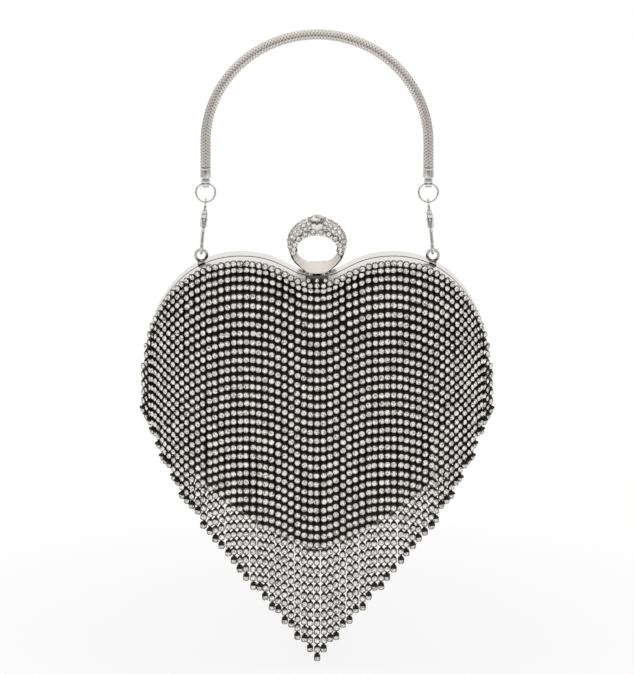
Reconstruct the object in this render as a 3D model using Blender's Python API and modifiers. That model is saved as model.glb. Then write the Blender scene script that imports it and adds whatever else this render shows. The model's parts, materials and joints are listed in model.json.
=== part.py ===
"""Heart-shaped evening clutch: a rigid two-half case under hanging stone strands, with a finger-ring clasp.

Metres, +Z up, the front of the case towards -Y. The origin is at the underside of the handle's arc,
where a hand or a hook holds the clutch, and every height is worked out downwards from there.
"""

import math

import bmesh
import bpy
import numpy as np
from mathutils import Matrix, Vector

MM = 0.001

# Clearances and overruns shared by all pieces
FIT_GAP = 0.3 * MM
LOOSE_GAP = 0.5 * MM
CUT_OVERRUN = 1.5 * MM

# Case: outline in the seam plane, and depth
CASE_HALF_WIDTH = 82.3 * MM
CASE_HEIGHT = 143.5 * MM
NOTCH_DEPTH = 10.0 * MM
BACK_DEPTH = 10.7 * MM
FRONT_DEPTH = 9.8 * MM
DOME_RISE = 15.0 * MM
FRAME_WALL = 1.3 * MM
FRAME_FLANGE = 2.6 * MM
FRAME_CHAMFER = 0.8 * MM
SHELL_WALL = 1.5 * MM
LINING_WALL = 0.8 * MM
LINING_LIP = 1.1 * MM
DOME_POWER_SHARE = 4.0
OUTLINE_COUNT = 56
DOME_RING_SHARES = (0.88, 0.7, 0.45)

# Outline handles as shares: of the half width across, of the height down
LOBE_TOP_SHARE = 0.447
NOTCH_HANDLE_SHARE = 0.176
LOBE_IN_HANDLE_SHARE = 0.256
LOBE_OUT_HANDLE_SHARE = 0.401
WIDEST_DROP_SHARE = 0.354
SIDE_UP_HANDLE_SHARE = 0.116
SIDE_DOWN_HANDLE_SHARE = 0.410
BOTTOM_HANDLE_SHARE = 0.155
DOME_CENTRE_DROP_SHARE = 0.405

# Handle
CHAIN_DIAMETER = 4.9 * MM
CHAIN_WALL = 1.0 * MM
CORE_DIAMETER = 2.0 * MM
HANDLE_SPAN_SHARE = 0.64824
HANDLE_HALF_SPAN = HANDLE_SPAN_SHARE * CASE_HALF_WIDTH
HANDLE_LEG = 11.8 * MM
HANDLE_ARC_STEPS = 20
CAP_LENGTH = 5.8 * MM
CAP_SPIGOT = 4.0 * MM
CAP_SHOULDER = 0.8 * MM
CAP_LOOP_DIAMETER = 4.4 * MM
CAP_LOOP_WALL = 1.0 * MM
CAP_LOOP_WIDTH = 4.1 * MM

# Hanging hardware
HANG_DEPTH = 1.2 * MM
JUMP_RING_DIAMETER = 10.2 * MM
JUMP_RING_WIRE = 0.95 * MM
EYE_BORE = 2.1 * MM
EYE_WIRE = 1.0 * MM
EYE_POST_DIAMETER = 1.2 * MM
EYE_POST_LENGTH = 6.4 * MM
EYE_COLLAR_DIAMETER = 2.2 * MM
EYE_COLLAR_HEIGHT = 1.0 * MM
EYE_STEPS = 14
CLASP_LENGTH = 25.3 * MM
CLASP_LEAN = math.radians(4.9)
CLASP_BODY_TOP = 5.0 * MM
CLASP_BODY_DIAMETER = 3.0 * MM
CLASP_BORE_DEPTH = 1.8 * MM
CLASP_BEND_SHARES = (0.24, 0.42)
CLASP_THICK_SHARE = 0.4
CLASP_STEPS = 9
HOOK_RADIUS = 3.6 * MM
HOOK_DIAMETER = 1.4 * MM
HOOK_TIP_RISE = 1.6 * MM
TRIGGER_PIVOT_DROP = 8.9 * MM
TRIGGER_PIVOT_OUT = 0.6 * MM
TRIGGER_DIAMETER = 1.1 * MM
TRIGGER_BOSS_DIAMETER = 1.7 * MM
TRIGGER_NUB = 2.1 * MM
TRIGGER_NUB_SHARE = 0.34
TRIGGER_NUB_FALL_SHARE = 0.33
TRIGGER_NUB_END_SHARES = (0.8, 0.9)
RIVET_DIAMETER = 0.8 * MM
EAR_BORE = 4.0 * MM
EAR_WIRE = 1.4 * MM
EAR_RISE = 4.9 * MM
EAR_FOOT_WIDTH = 3.4 * MM
EAR_NECK_ANGLE = math.radians(62)
EAR_STEPS = 20

# Bottom hinge
HINGE_BARREL = 3.2 * MM
HINGE_PIN = 1.6 * MM
HINGE_HALF_LENGTH = 6.5 * MM
HINGE_MIDDLE_HALF = 2.4 * MM
HINGE_LEAF_DEPTH = 7.0 * MM
HINGE_LEAF_WALL = 1.0 * MM

# Finger ring and its lever
RING_BORE = 19.7 * MM
RING_OUTER = 28.7 * MM
RING_CROWN_RISE = 3.55 * MM
RING_BASE_WALL = 0.7 * MM
RING_CROWN_WALL = 6.2 * MM
RING_TOP_WIDTH = 13.0 * MM
RING_BASE_WIDTH = 10.4 * MM
RING_SHOULDER_SHARE = 0.45
RING_FLAT_SHARE = 0.24
RING_STEPS = 36
LEVER_WIDTH = 9.6 * MM
LEVER_WALL = 1.0 * MM
LIP_DROP = 4.2 * MM
BRACKET_LUG_WALL = 1.4 * MM
BRACKET_WALL = 1.2 * MM
LEVER_BARREL = 3.8 * MM
LEVER_PIN = 1.6 * MM
LEVER_PIN_HEAD = 2.8 * MM
PIN_HEAD_HEIGHT = 0.6 * MM
SPRING_WIRE = 0.45 * MM
SPRING_TURNS = 2
SPRING_TURN_STEPS = 12
SPRING_LENGTH = 2.6 * MM
SPRING_LEG = 3.0 * MM
CATCH_LENGTH = 6.0 * MM
CATCH_DIAMETER = 1.3 * MM
STONE_DIAMETER = 6.8 * MM
STONE_CROWN = 1.2 * MM
STONE_TABLE_SHARE = 0.55
STONE_POINT_SHARE = 0.9
STONE_STEPS = 16
BEZEL_WALL = 0.45 * MM
BEZEL_HEIGHT = 4.0 * MM
BEZEL_PROUD = 1.3 * MM
BEZEL_FOOT_SHARE = 0.62
BEZEL_WAIST_SHARE = 0.55
BEZEL_STEPS = 20

# Strands: pitch along the rim, and the free fringe
STRAND_PITCH = 3.0 * MM
STRAND_SIDE_PITCH = 1.5 * MM
STRAND_SHARE = 0.8
STRAND_THICK = 1.0 * MM
STRAND_STAY = 2.4 * MM
STRAND_RIM_INSET = 0.5 * MM
STRAND_SIDE_INSET = 0.8 * MM
STRAND_GROUPS = 6
FRINGE_TIP_DROP = 193.4 * MM
FRINGE_SIDE_DROP = 75.0 * MM
FREE_START_DROP = 66.0 * MM
FREE_START_FALL = 26.0 * MM
STRAND_ROW_SHARES = (0.0, 0.09, 0.21, 0.38, 0.62, 1.0)
STRAND_CLEAR = 0.8 * MM
DRAPE_STEPS = 60

# Slip pocket on the back lining
POCKET_HALF_WIDTH = 40.0 * MM
POCKET_HEIGHT = 46.0 * MM
POCKET_WALL = 0.6 * MM
POCKET_FULLNESS = 3.0 * MM
POCKET_DROP = 56.0 * MM
POCKET_TAPER_SHARE = 0.25
POCKET_COLUMNS = 10
POCKET_ROWS = 5

ROUND_STEPS = 12
SMALL_STEPS = 8
CURVE_STEPS = 80
JOIN_SHARE = 0.12
MERGE_DISTANCE = 0.005 * MM
SHARP_ANGLE = math.radians(40)


def bezier(start, leave, arrive, end, count):
    """Points of one cubic curve, without its last one."""
    t = np.linspace(0, 1, count, endpoint=False)[:, None]
    start, leave, arrive, end = (np.array(p, float) for p in (start, leave, arrive, end))
    return (
        (1 - t) ** 3 * start
        + 3 * (1 - t) ** 2 * t * leave
        + 3 * (1 - t) * t**2 * arrive
        + t**3 * end
    )


def half_outline():
    """The right half of the heart from notch to bottom: (x, drop below the lobes' top)."""
    width, height = CASE_HALF_WIDTH, CASE_HEIGHT
    notch = (0, -NOTCH_DEPTH)
    lobe = (LOBE_TOP_SHARE * width, 0)
    side = (width, -WIDEST_DROP_SHARE * height)
    bottom = (0, -height)
    return np.vstack([
        bezier(notch, (NOTCH_HANDLE_SHARE * width, -NOTCH_DEPTH),
               (lobe[0] - LOBE_IN_HANDLE_SHARE * width, 0), lobe, CURVE_STEPS),
        bezier(lobe, (lobe[0] + LOBE_OUT_HANDLE_SHARE * width, 0),
               (width, side[1] + SIDE_UP_HANDLE_SHARE * height), side, CURVE_STEPS),
        bezier(side, (width, side[1] - SIDE_DOWN_HANDLE_SHARE * height),
               (BOTTOM_HANDLE_SHARE * width, -height), bottom, CURVE_STEPS),
        [bottom],
    ])


def lengths_along(points):
    """Distance along a polyline to each of its points."""
    return np.concatenate([[0], np.cumsum(np.linalg.norm(np.diff(points, axis=0), axis=1))])


def half_points(count):
    """The right half as points at even distances along it."""
    curve = half_outline()
    reach = lengths_along(curve)
    at = np.linspace(0, reach[-1], count // 2 + 1)
    return np.column_stack([np.interp(at, reach, curve[:, 0]), np.interp(at, reach, curve[:, 1])])


def drop_at(x):
    """Height of the case's top edge at x, counted from the lobes' top."""
    points = half_points(OUTLINE_COUNT)
    top = points[: int(np.argmax(points[:, 0])) + 1]
    return float(np.interp(abs(x), top[:, 0], top[:, 1]))


# Heights, from the grip down
HANDLE_ARC_HEIGHT = CHAIN_DIAMETER / 2 - HANDLE_HALF_SPAN
SLEEVE_END = HANDLE_ARC_HEIGHT - HANDLE_LEG
CAP_TOP = SLEEVE_END - FIT_GAP
CAP_LOOP_HEIGHT = CAP_TOP - CAP_LENGTH - CAP_LOOP_DIAMETER / 2
JUMP_RING_RADIUS = (JUMP_RING_DIAMETER - JUMP_RING_WIRE) / 2
RING_BOTTOM = CAP_LOOP_HEIGHT - 2 * JUMP_RING_RADIUS
EAR_X = HANDLE_HALF_SPAN + CLASP_LENGTH * math.sin(CLASP_LEAN)
HOOK_BOTTOM = RING_BOTTOM - CLASP_LENGTH * math.cos(CLASP_LEAN)
EAR_PIVOT = HOOK_BOTTOM + HOOK_DIAMETER / 2 + FIT_GAP + EAR_WIRE / 2
EAR_CENTRE = EAR_PIVOT - (EAR_BORE + EAR_WIRE) / 2
LOBE_TOP = EAR_CENTRE - EAR_RISE - drop_at(EAR_X)
NOTCH = LOBE_TOP - NOTCH_DEPTH
CASE_BOTTOM = LOBE_TOP - CASE_HEIGHT
DOME_CENTRE = LOBE_TOP - DOME_CENTRE_DROP_SHARE * CASE_HEIGHT
CASE_MIDDLE = Vector((0, 0, DOME_CENTRE))
HINGE_AXIS = Vector((0, 0, CASE_BOTTOM - FIT_GAP - HINGE_BARREL / 2))
LEVER_BASE = LOBE_TOP + drop_at(LEVER_WIDTH / 2) + FIT_GAP
LEVER_TOP = LEVER_BASE + LEVER_WALL
LEVER_AXIS = Vector((0, BACK_DEPTH + FIT_GAP + BRACKET_WALL, LEVER_BASE + LEVER_BARREL / 2))
TRIGGER_PIVOT = Vector((0, TRIGGER_PIVOT_OUT, -TRIGGER_PIVOT_DROP))
RING_BASE = LEVER_TOP + FIT_GAP
RING_CENTRE = RING_BASE + RING_BASE_WALL + RING_BORE / 2
RING_CROWN = RING_CENTRE + RING_BORE / 2 + RING_CROWN_WALL
LIP_FACE = FRONT_DEPTH + CATCH_DIAMETER + 2 * FIT_GAP
SHELL_INSET = FRAME_FLANGE + FIT_GAP
LINING_INSET = SHELL_INSET + SHELL_WALL + FIT_GAP
RIM_SLOPE = math.atan(DOME_POWER_SHARE * DOME_RISE / (NOTCH - DOME_CENTRE))
LINING_SINK = (SHELL_WALL + FIT_GAP) / math.cos(RIM_SLOPE)
POCKET_SINK = LINING_SINK + (LINING_WALL + FIT_GAP) / math.cos(RIM_SLOPE)


def clear_scene():
    """Removes whatever the file holds."""
    for thing in list(bpy.data.objects):
        bpy.data.objects.remove(thing, do_unlink=True)


def collection(name):
    group = bpy.data.collections.new(name)
    bpy.context.scene.collection.children.link(group)
    return group


def finish(name, colour, roughness, metallic):
    """A plain material with one shader."""
    made = bpy.data.materials.new(name)
    made.use_nodes = True
    shader = made.node_tree.nodes["Principled BSDF"]
    shader.inputs["Base Color"].default_value = (*colour, 1)
    shader.inputs["Roughness"].default_value = roughness
    shader.inputs["Metallic"].default_value = metallic
    return made


def axis_empty(name, place, parent=None):
    """An empty on a joint's axis; what moves there is its child."""
    mark = bpy.data.objects.new(name, None)
    mark.empty_display_size = JUMP_RING_DIAMETER
    PARTS.objects.link(mark)
    mark["place"] = tuple(place)
    mark.parent = parent
    mark.location = Vector(place) - (Vector(parent["place"]) if parent else Vector())
    return mark


def hang(thing, parent):
    """Makes an object whose mesh is in world places a child of an empty, without moving it."""
    place = Vector(parent["place"])
    thing.data.transform(Matrix.Translation(-place))
    thing.parent = parent
    thing.location = (0, 0, 0)


def solid(name, bm, material, parent, recalc=True):
    """A named object from a bmesh in world places."""
    if recalc:
        bmesh.ops.recalc_face_normals(bm, faces=bm.faces)
    mesh = bpy.data.meshes.new(name)
    bm.to_mesh(mesh)
    bm.free()
    mesh.materials.append(material)
    mesh.shade_smooth()
    mesh.set_sharp_from_angle(angle=SHARP_ANGLE)
    thing = bpy.data.objects.new(name, mesh)
    PARTS.objects.link(thing)
    hang(thing, parent)
    return thing


def combine(target, operand, operation):
    """A Boolean on the target; the operand is put away among the cutters."""
    for group in list(operand.users_collection):
        group.objects.unlink(operand)
    CUTTERS.objects.link(operand)
    operand.hide_render = True
    operand.display_type = "WIRE"
    step = target.modifiers.new(operand.name, "BOOLEAN")
    step.operation = operation
    step.solver = "EXACT"
    step.object = operand


def join(target, name, bm, material, operation="UNION"):
    """Adds a shape to an object, or cuts it out of it."""
    combine(target, solid(name, bm, material, target.parent), operation)


def box_mesh(low, high):
    """A box between two corners."""
    bm = bmesh.new()
    bmesh.ops.create_cube(bm, size=1)
    low, high = Vector(low), Vector(high)
    size = high - low
    bmesh.ops.scale(bm, vec=size, verts=bm.verts)
    bmesh.ops.translate(bm, vec=(low + high) / 2, verts=bm.verts)
    return bm


def rod_mesh(start, end, radius, end_radius=None, steps=ROUND_STEPS):
    """A cylinder or cone between two points."""
    start, end = Vector(start), Vector(end)
    along = end - start
    bm = bmesh.new()
    bmesh.ops.create_cone(
        bm, cap_ends=True, segments=steps, radius1=radius,
        radius2=radius if end_radius is None else end_radius, depth=along.length,
    )
    turn = along.to_track_quat("Z", "Y").to_matrix().to_4x4()
    bmesh.ops.transform(bm, matrix=Matrix.Translation((start + end) / 2) @ turn, verts=bm.verts)
    return bm


def loft_mesh(rings, closed_ring=True, cap_first=False, cap_last=False, close_loop=False):
    """A surface through rings of points that correspond one to one."""
    bm = bmesh.new()
    rows = [[bm.verts.new(tuple(p)) for p in ring] for ring in rings]
    count = len(rows[0])
    pairs = list(zip(rows[:-1], rows[1:]))
    if close_loop:
        pairs.append((rows[-1], rows[0]))
    for one, two in pairs:
        for i in range(count if closed_ring else count - 1):
            j = (i + 1) % count
            bm.faces.new((one[i], one[j], two[j], two[i]))
    if cap_first:
        bm.faces.new(rows[0])
    if cap_last:
        bm.faces.new(rows[-1])
    return bm


def prism_mesh(profile, half):
    """A profile of (y, z) carried across from -x to x."""
    return loft_mesh([[(x, y, z) for y, z in profile] for x in (-half, half)], cap_first=True, cap_last=True)


def face_away(bm, middle):
    """Turns an open surface so that its faces look away from a point."""
    bm.normal_update()
    total = sum(f.calc_area() * f.normal.dot(f.calc_center_median() - middle) for f in bm.faces)
    if total < 0:
        bmesh.ops.reverse_faces(bm, faces=bm.faces)


def thicken(thing, wall, offset=-1.0):
    """Gives an open surface its wall."""
    step = thing.modifiers.new("wall", "SOLIDIFY")
    step.thickness = wall
    step.offset = offset
    step.use_even_offset = True
    step.thickness_clamp = 0


def tube_points(points, radii, steps=8):
    """Rings of points around a path that lies in a plane of constant x."""
    points = np.array(points, float)
    along = np.gradient(points, axis=0)
    along /= np.linalg.norm(along, axis=1)[:, None]
    across = np.array([1.0, 0, 0])
    turn = np.linspace(0, 2 * math.pi, steps, endpoint=False)
    rings = []
    for place, forward, radius in zip(points, along, radii):
        side = np.cross(forward, across)
        rings.append([place + radius * (math.cos(a) * across + math.sin(a) * side) for a in turn])
    return rings


def outline(inset=0.0, count=OUTLINE_COUNT):
    """The closed heart in the seam plane as (x, z), moved inwards by the inset; starts at the notch."""
    right = half_points(count)
    left = right[-2:0:-1] * (-1, 1)
    loop = np.vstack([right, left])
    along = np.roll(loop, -1, 0) - np.roll(loop, 1, 0)
    along /= np.linalg.norm(along, axis=1)[:, None]
    inward = np.column_stack([along[:, 1], -along[:, 0]])
    return loop + inset * inward + (0, LOBE_TOP)


def ring_at(inset, depth, side, scale=1.0):
    """The outline at a depth on one side of the seam, drawn in towards the dome's middle."""
    loop = outline(inset)
    middle = np.array([0, DOME_CENTRE])
    loop = middle + scale * (loop - middle)
    return np.column_stack([loop[:, 0], np.full(len(loop), side * depth), loop[:, 1]])


def dome_lift(scale):
    """How far the dome stands out, as a share of its rise, at a share of the way to the rim."""
    return 1 - np.clip(scale, 0, 1) ** DOME_POWER_SHARE


def share_to_rim(x, z, inset):
    """Where (x, z) lies between the dome's middle, 0, and the outline with this inset, 1."""
    loop = outline(inset, 4 * OUTLINE_COUNT)
    away = loop - (0, DOME_CENTRE)
    bearing = np.arctan2(away[:, 0], away[:, 1])
    order = np.argsort(bearing)
    reach = np.linalg.norm(away, axis=1)[order]
    x, z = np.asarray(x, float), np.asarray(z, float) - DOME_CENTRE
    limit = np.interp(np.arctan2(x, z), bearing[order], reach, period=2 * math.pi)
    return np.hypot(x, z) / limit


def make_frame(name, depth, side, parent):
    """One metal rim: a band around the outline with a flange at its outer edge."""
    rows = [
        ring_at(FRAME_FLANGE, depth, side),
        ring_at(FRAME_CHAMFER, depth, side),
        ring_at(0, depth - FRAME_CHAMFER, side),
        ring_at(0, FIT_GAP / 2, side),
    ]
    bm = loft_mesh(rows)
    face_away(bm, CASE_MIDDLE)
    frame = solid(name, bm, SILVER, parent, recalc=False)
    thicken(frame, FRAME_WALL)
    return frame


def dome_rows(inset, base, side):
    """The dome's rings from its edge to its flat middle."""
    return [
        ring_at(inset, base + DOME_RISE * dome_lift(share), side, share)
        for share in (1.0, *DOME_RING_SHARES)
    ]


def make_shell(name, depth, side, material, parent):
    """A board dome that comes out through the flange, with a collar behind it."""
    collar = depth - FRAME_WALL - FIT_GAP
    rows = [
        ring_at(FRAME_WALL + FIT_GAP, collar, side),
        ring_at(SHELL_INSET, collar, side),
        *dome_rows(SHELL_INSET, depth, side),
    ]
    bm = loft_mesh(rows, cap_last=True)
    face_away(bm, CASE_MIDDLE)
    shell = solid(name, bm, material, parent, recalc=False)
    thicken(shell, SHELL_WALL)
    return shell


def make_lining(name, depth, side, parent):
    """The cloth-covered card inside a shell, with a lip that covers the frame's inner side."""
    rows = [
        ring_at(FRAME_WALL + FIT_GAP, LINING_LIP, side),
        ring_at(LINING_INSET, LINING_LIP, side),
        ring_at(LINING_INSET, depth - LINING_SINK, side),
        *dome_rows(LINING_INSET, depth - LINING_SINK, side)[1:],
    ]
    bm = loft_mesh(rows, cap_last=True)
    face_away(bm, CASE_MIDDLE)
    lining = solid(name, bm, LINING, parent, recalc=False)
    thicken(lining, LINING_WALL)
    return lining


def make_slip_pocket(parent):
    """A cloth pouch on the back lining: sewn at its sides and bottom, full in the middle, open above."""
    across = np.linspace(-1, 1, POCKET_COLUMNS + 1)
    down = np.linspace(0, 1, POCKET_ROWS + 1)
    rings = []
    for v in down:
        x = across * POCKET_HALF_WIDTH * (1 - POCKET_TAPER_SHARE * v**2)
        z = np.full_like(x, LOBE_TOP - POCKET_DROP - v * POCKET_HEIGHT)
        seat = BACK_DEPTH - POCKET_SINK + DOME_RISE * dome_lift(share_to_rim(x, z, LINING_INSET))
        full = POCKET_FULLNESS * (1 - across**4) * (1 - v**2)
        rings.append(np.column_stack([x, seat - full, z]))
    bm = loft_mesh(rings, closed_ring=False)
    face_away(bm, CASE_MIDDLE)
    pocket = solid("slip_pocket", bm, LINING, parent, recalc=False)
    thicken(pocket, POCKET_WALL)
    return pocket


def make_handle(parent):
    """The snake-chain sleeve with its wire, and a cap at each end."""
    turn = np.linspace(math.pi, 0, HANDLE_ARC_STEPS + 1)
    arc = [(HANDLE_HALF_SPAN * math.cos(a), HANG_DEPTH,
            HANDLE_ARC_HEIGHT + HANDLE_HALF_SPAN * math.sin(a)) for a in turn]

    def legs_to(height):
        return [(-HANDLE_HALF_SPAN, HANG_DEPTH, height), *arc, (HANDLE_HALF_SPAN, HANG_DEPTH, height)]

    sleeve = curve_tube("handle_chain", legs_to(SLEEVE_END), CHAIN_DIAMETER / 2, 2, False, SNAKE)
    hang(sleeve, parent)
    thicken(sleeve, CHAIN_WALL)
    core_end = CAP_TOP + CAP_SPIGOT + FIT_GAP
    core = curve_tube("handle_core", legs_to(core_end), CORE_DIAMETER / 2, 1, True, STEEL)
    hang(core, parent)
    for side, sign in (("left", -1), ("right", 1)):
        make_end_cap(f"end_cap_{side}", sign * HANDLE_HALF_SPAN, parent)


def curve_tube(name, points, radius, resolution, caps, material):
    """A round tube along points, made a mesh."""
    line = bpy.data.curves.new(name, "CURVE")
    line.dimensions = "3D"
    line.bevel_depth = radius
    line.bevel_resolution = resolution
    line.use_fill_caps = caps
    spline = line.splines.new("POLY")
    spline.points.add(len(points) - 1)
    for point, place in zip(spline.points, points):
        point.co = (*place, 1)
    thing = bpy.data.objects.new(name, line)
    PARTS.objects.link(thing)
    bpy.context.view_layer.update()
    mesh = bpy.data.meshes.new_from_object(thing.evaluated_get(bpy.context.evaluated_depsgraph_get()))
    bpy.data.objects.remove(thing)
    bm = bmesh.new()
    bm.from_mesh(mesh)
    bmesh.ops.remove_doubles(bm, verts=bm.verts, dist=MERGE_DISTANCE)
    bm.to_mesh(mesh)
    bm.free()
    mesh.materials.clear()
    mesh.materials.append(material)
    mesh.shade_smooth()
    mesh.set_sharp_from_angle(angle=SHARP_ANGLE)
    made = bpy.data.objects.new(name, mesh)
    PARTS.objects.link(made)
    return made


def turned(name, profile, place, material, parent, steps=ROUND_STEPS):
    """A profile of (radius, height) from top to bottom, turned about the vertical through a place."""
    mesh = bpy.data.meshes.new(name)
    mesh.from_pydata([(r, 0, h) for r, h in profile], [(i, i + 1) for i in range(len(profile) - 1)], [])
    mesh.materials.append(material)
    thing = bpy.data.objects.new(name, mesh)
    PARTS.objects.link(thing)
    thing.parent = parent
    thing.location = Vector(place) - Vector(parent["place"])
    step = thing.modifiers.new("turn", "SCREW")
    step.steps = steps
    step.render_steps = steps
    step.use_merge_vertices = True
    step.merge_threshold = MERGE_DISTANCE
    step.use_smooth_shade = True
    return thing


def make_end_cap(name, x, parent):
    """A turned cap: spigot in the sleeve, body flush with it, and a strap loop below."""
    radius = CHAIN_DIAMETER / 2
    spigot = radius - CHAIN_WALL - FIT_GAP
    loop = CAP_LOOP_DIAMETER / 2
    profile = [
        (0, CAP_SPIGOT), (spigot, CAP_SPIGOT), (spigot, 0), (radius, 0),
        (radius, CAP_SHOULDER - CAP_LENGTH), (radius - CAP_SHOULDER, -CAP_LENGTH), (0, -CAP_LENGTH),
    ]
    cap = turned(name, profile, (x, HANG_DEPTH, CAP_TOP), SILVER, parent)
    middle = Vector((x, HANG_DEPTH, CAP_LOOP_HEIGHT))
    half = Vector((CAP_LOOP_WIDTH / 2, 0, 0))
    join(cap, f"{name}_strap", rod_mesh(middle - half, middle + half, loop), SILVER)
    stem_low = middle - half - Vector((0, radius - CAP_SHOULDER, 0))
    stem_high = middle + half + Vector((0, radius - CAP_SHOULDER, CAP_LENGTH / 2 + loop))
    stem_low.x, stem_high.x = x - radius + CAP_SHOULDER, x + radius - CAP_SHOULDER
    stem_low.z += loop / 2
    join(cap, f"{name}_stem", box_mesh(stem_low, stem_high), SILVER)
    over = Vector((CUT_OVERRUN, 0, 0))
    bore = rod_mesh(middle - half - over, middle + half + over, loop - CAP_LOOP_WALL)
    join(cap, f"{name}_bore", bore, SILVER, "DIFFERENCE")
    return cap


def ring_mesh(middle, radius, wire, across, major=2 * ROUND_STEPS, minor=ROUND_STEPS // 2):
    """A round wire ring about a middle, in the plane of the upright and the direction across."""
    upright, across = Vector((0, 0, 1)), Vector(across)
    side = upright.cross(across)
    rings = []
    for a in np.linspace(0, 2 * math.pi, major, endpoint=False):
        out = math.cos(a) * across + math.sin(a) * upright
        centre = Vector(middle) + out * radius
        rings.append([centre + wire / 2 * (math.cos(b) * out + math.sin(b) * side)
                      for b in np.linspace(0, 2 * math.pi, minor, endpoint=False)])
    return loft_mesh(rings, close_loop=True)


def lean_matrix(sign):
    """Places a clasp built about its eye: leaned outwards, at the bottom of its jump ring."""
    return (Matrix.Translation((sign * HANDLE_HALF_SPAN, HANG_DEPTH, RING_BOTTOM))
            @ Matrix.Rotation(-sign * CLASP_LEAN, 4, "Y"))


def leaned(bm, sign):
    bmesh.ops.transform(bm, matrix=lean_matrix(sign), verts=bm.verts)
    return bm


def make_clasp_eye(side, sign, parent):
    """The swivel eye: a ring, its post and the collar above the body's well."""
    radius = (EYE_BORE + EYE_WIRE) / 2
    ring = ring_mesh((0, 0, 0), radius, EYE_WIRE, (0, 1, 0), EYE_STEPS, SMALL_STEPS)
    eye = solid(f"clasp_eye_{side}", leaned(ring, sign), SILVER, parent)
    post = rod_mesh((0, 0, -radius), (0, 0, -EYE_POST_LENGTH), EYE_POST_DIAMETER / 2, steps=SMALL_STEPS)
    join(eye, f"eye_post_{side}", leaned(post, sign), SILVER)
    low = FIT_GAP - CLASP_BODY_TOP
    collar = rod_mesh((0, 0, low), (0, 0, low + EYE_COLLAR_HEIGHT), EYE_COLLAR_DIAMETER / 2,
                      steps=SMALL_STEPS)
    join(eye, f"eye_collar_{side}", leaned(collar, sign), SILVER)


def clasp_path():
    """The clasp's centreline from its top round the hook to the tip, and its radii."""
    hook = CLASP_LENGTH - HOOK_RADIUS
    fall = hook - CLASP_BODY_TOP
    leave, arrive = (-CLASP_BODY_TOP - share * fall for share in CLASP_BEND_SHARES)
    stem = bezier((0, -CLASP_BODY_TOP), (0, leave), (HOOK_RADIUS, arrive), (HOOK_RADIUS, -hook),
                  CLASP_STEPS)
    arc = [(HOOK_RADIUS * math.cos(a), -hook - HOOK_RADIUS * math.sin(a))
           for a in np.linspace(0, math.pi, CLASP_STEPS)]
    path = [(0, y, z) for y, z in (*stem, *arc, (-HOOK_RADIUS, HOOK_TIP_RISE - hook))]
    thick, thin = CLASP_BODY_DIAMETER / 2, HOOK_DIAMETER / 2
    along = np.linspace(0, 1, CLASP_STEPS)
    waist = (thick + thin) / 2
    radii = [
        *np.interp(along, (0, CLASP_THICK_SHARE, 1), (thick, thick, waist)),
        *np.interp(along, (0, 1 / 2, 1), (waist, thin, thin)),
        thin,
    ]
    return path, radii


def make_clasp_body(side, sign, parent):
    """The hook, with a well for the eye's post and a slot for the trigger, and the rivet."""
    path, radii = clasp_path()
    tube = loft_mesh(tube_points(path, radii), cap_first=True, cap_last=True)
    body = solid(f"clasp_body_{side}", leaned(tube, sign), SILVER, parent)
    boss, half = TRIGGER_BOSS_DIAMETER / 2, TRIGGER_DIAMETER / 2 + FIT_GAP
    slot_low = Vector((-half, -boss - 2 * CLASP_BODY_DIAMETER, -7 * boss - FIT_GAP))
    slot_high = Vector((half, boss + FIT_GAP / 2, boss + FIT_GAP))
    slot = box_mesh(TRIGGER_PIVOT + slot_low, TRIGGER_PIVOT + slot_high)
    join(body, f"clasp_slot_{side}", leaned(slot, sign), SILVER, "DIFFERENCE")
    reach = Vector((CLASP_BODY_DIAMETER / 2 + CUT_OVERRUN, 0, 0))
    bore = rod_mesh(TRIGGER_PIVOT - reach, TRIGGER_PIVOT + reach, RIVET_DIAMETER / 2 + FIT_GAP,
                    steps=SMALL_STEPS)
    join(body, f"rivet_bore_{side}", leaned(bore, sign), SILVER, "DIFFERENCE")
    well = rod_mesh((0, 0, CUT_OVERRUN - CLASP_BODY_TOP), (0, 0, -CLASP_BODY_TOP - CLASP_BORE_DEPTH),
                    EYE_POST_DIAMETER / 2 + FIT_GAP, steps=SMALL_STEPS)
    join(body, f"eye_well_{side}", leaned(well, sign), SILVER, "DIFFERENCE")
    width = Vector((CLASP_BODY_DIAMETER / 2, 0, 0))
    rivet = rod_mesh(TRIGGER_PIVOT - width, TRIGGER_PIVOT + width, RIVET_DIAMETER / 2, steps=SMALL_STEPS)
    solid(f"clasp_rivet_{side}", leaned(rivet, sign), STEEL, parent)


def make_trigger(side, sign, parent):
    """The arm that closes the hook, with its boss on the rivet and its thumb nub."""
    arm = TRIGGER_DIAMETER / 2
    rest = HOOK_RADIUS - HOOK_DIAMETER / 2 - LOOSE_GAP - arm
    end = Vector((0, -rest, HOOK_RADIUS - CLASP_LENGTH + HOOK_TIP_RISE / 2))
    bar = rod_mesh(TRIGGER_PIVOT, end, arm, steps=SMALL_STEPS)
    trigger = solid(f"clasp_trigger_{side}", leaned(bar, sign), SILVER, parent)
    width = Vector((arm, 0, 0))
    disc = rod_mesh(TRIGGER_PIVOT - width, TRIGGER_PIVOT + width, TRIGGER_BOSS_DIAMETER / 2)
    join(trigger, f"trigger_disc_{side}", leaned(disc, sign), SILVER)
    root = TRIGGER_PIVOT.lerp(end, TRIGGER_NUB_SHARE)
    tip = root - TRIGGER_NUB * Vector((0, 1, TRIGGER_NUB_FALL_SHARE))
    near, far = (share * arm for share in TRIGGER_NUB_END_SHARES)
    nub = rod_mesh(root, tip, near, far, steps=SMALL_STEPS)
    join(trigger, f"trigger_nub_{side}", leaned(nub, sign), SILVER)
    hole = rod_mesh(TRIGGER_PIVOT - 2 * width, TRIGGER_PIVOT + 2 * width,
                    (RIVET_DIAMETER + FIT_GAP) / 2, steps=SMALL_STEPS)
    join(trigger, f"trigger_bore_{side}", leaned(hole, sign), SILVER, "DIFFERENCE")


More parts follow.
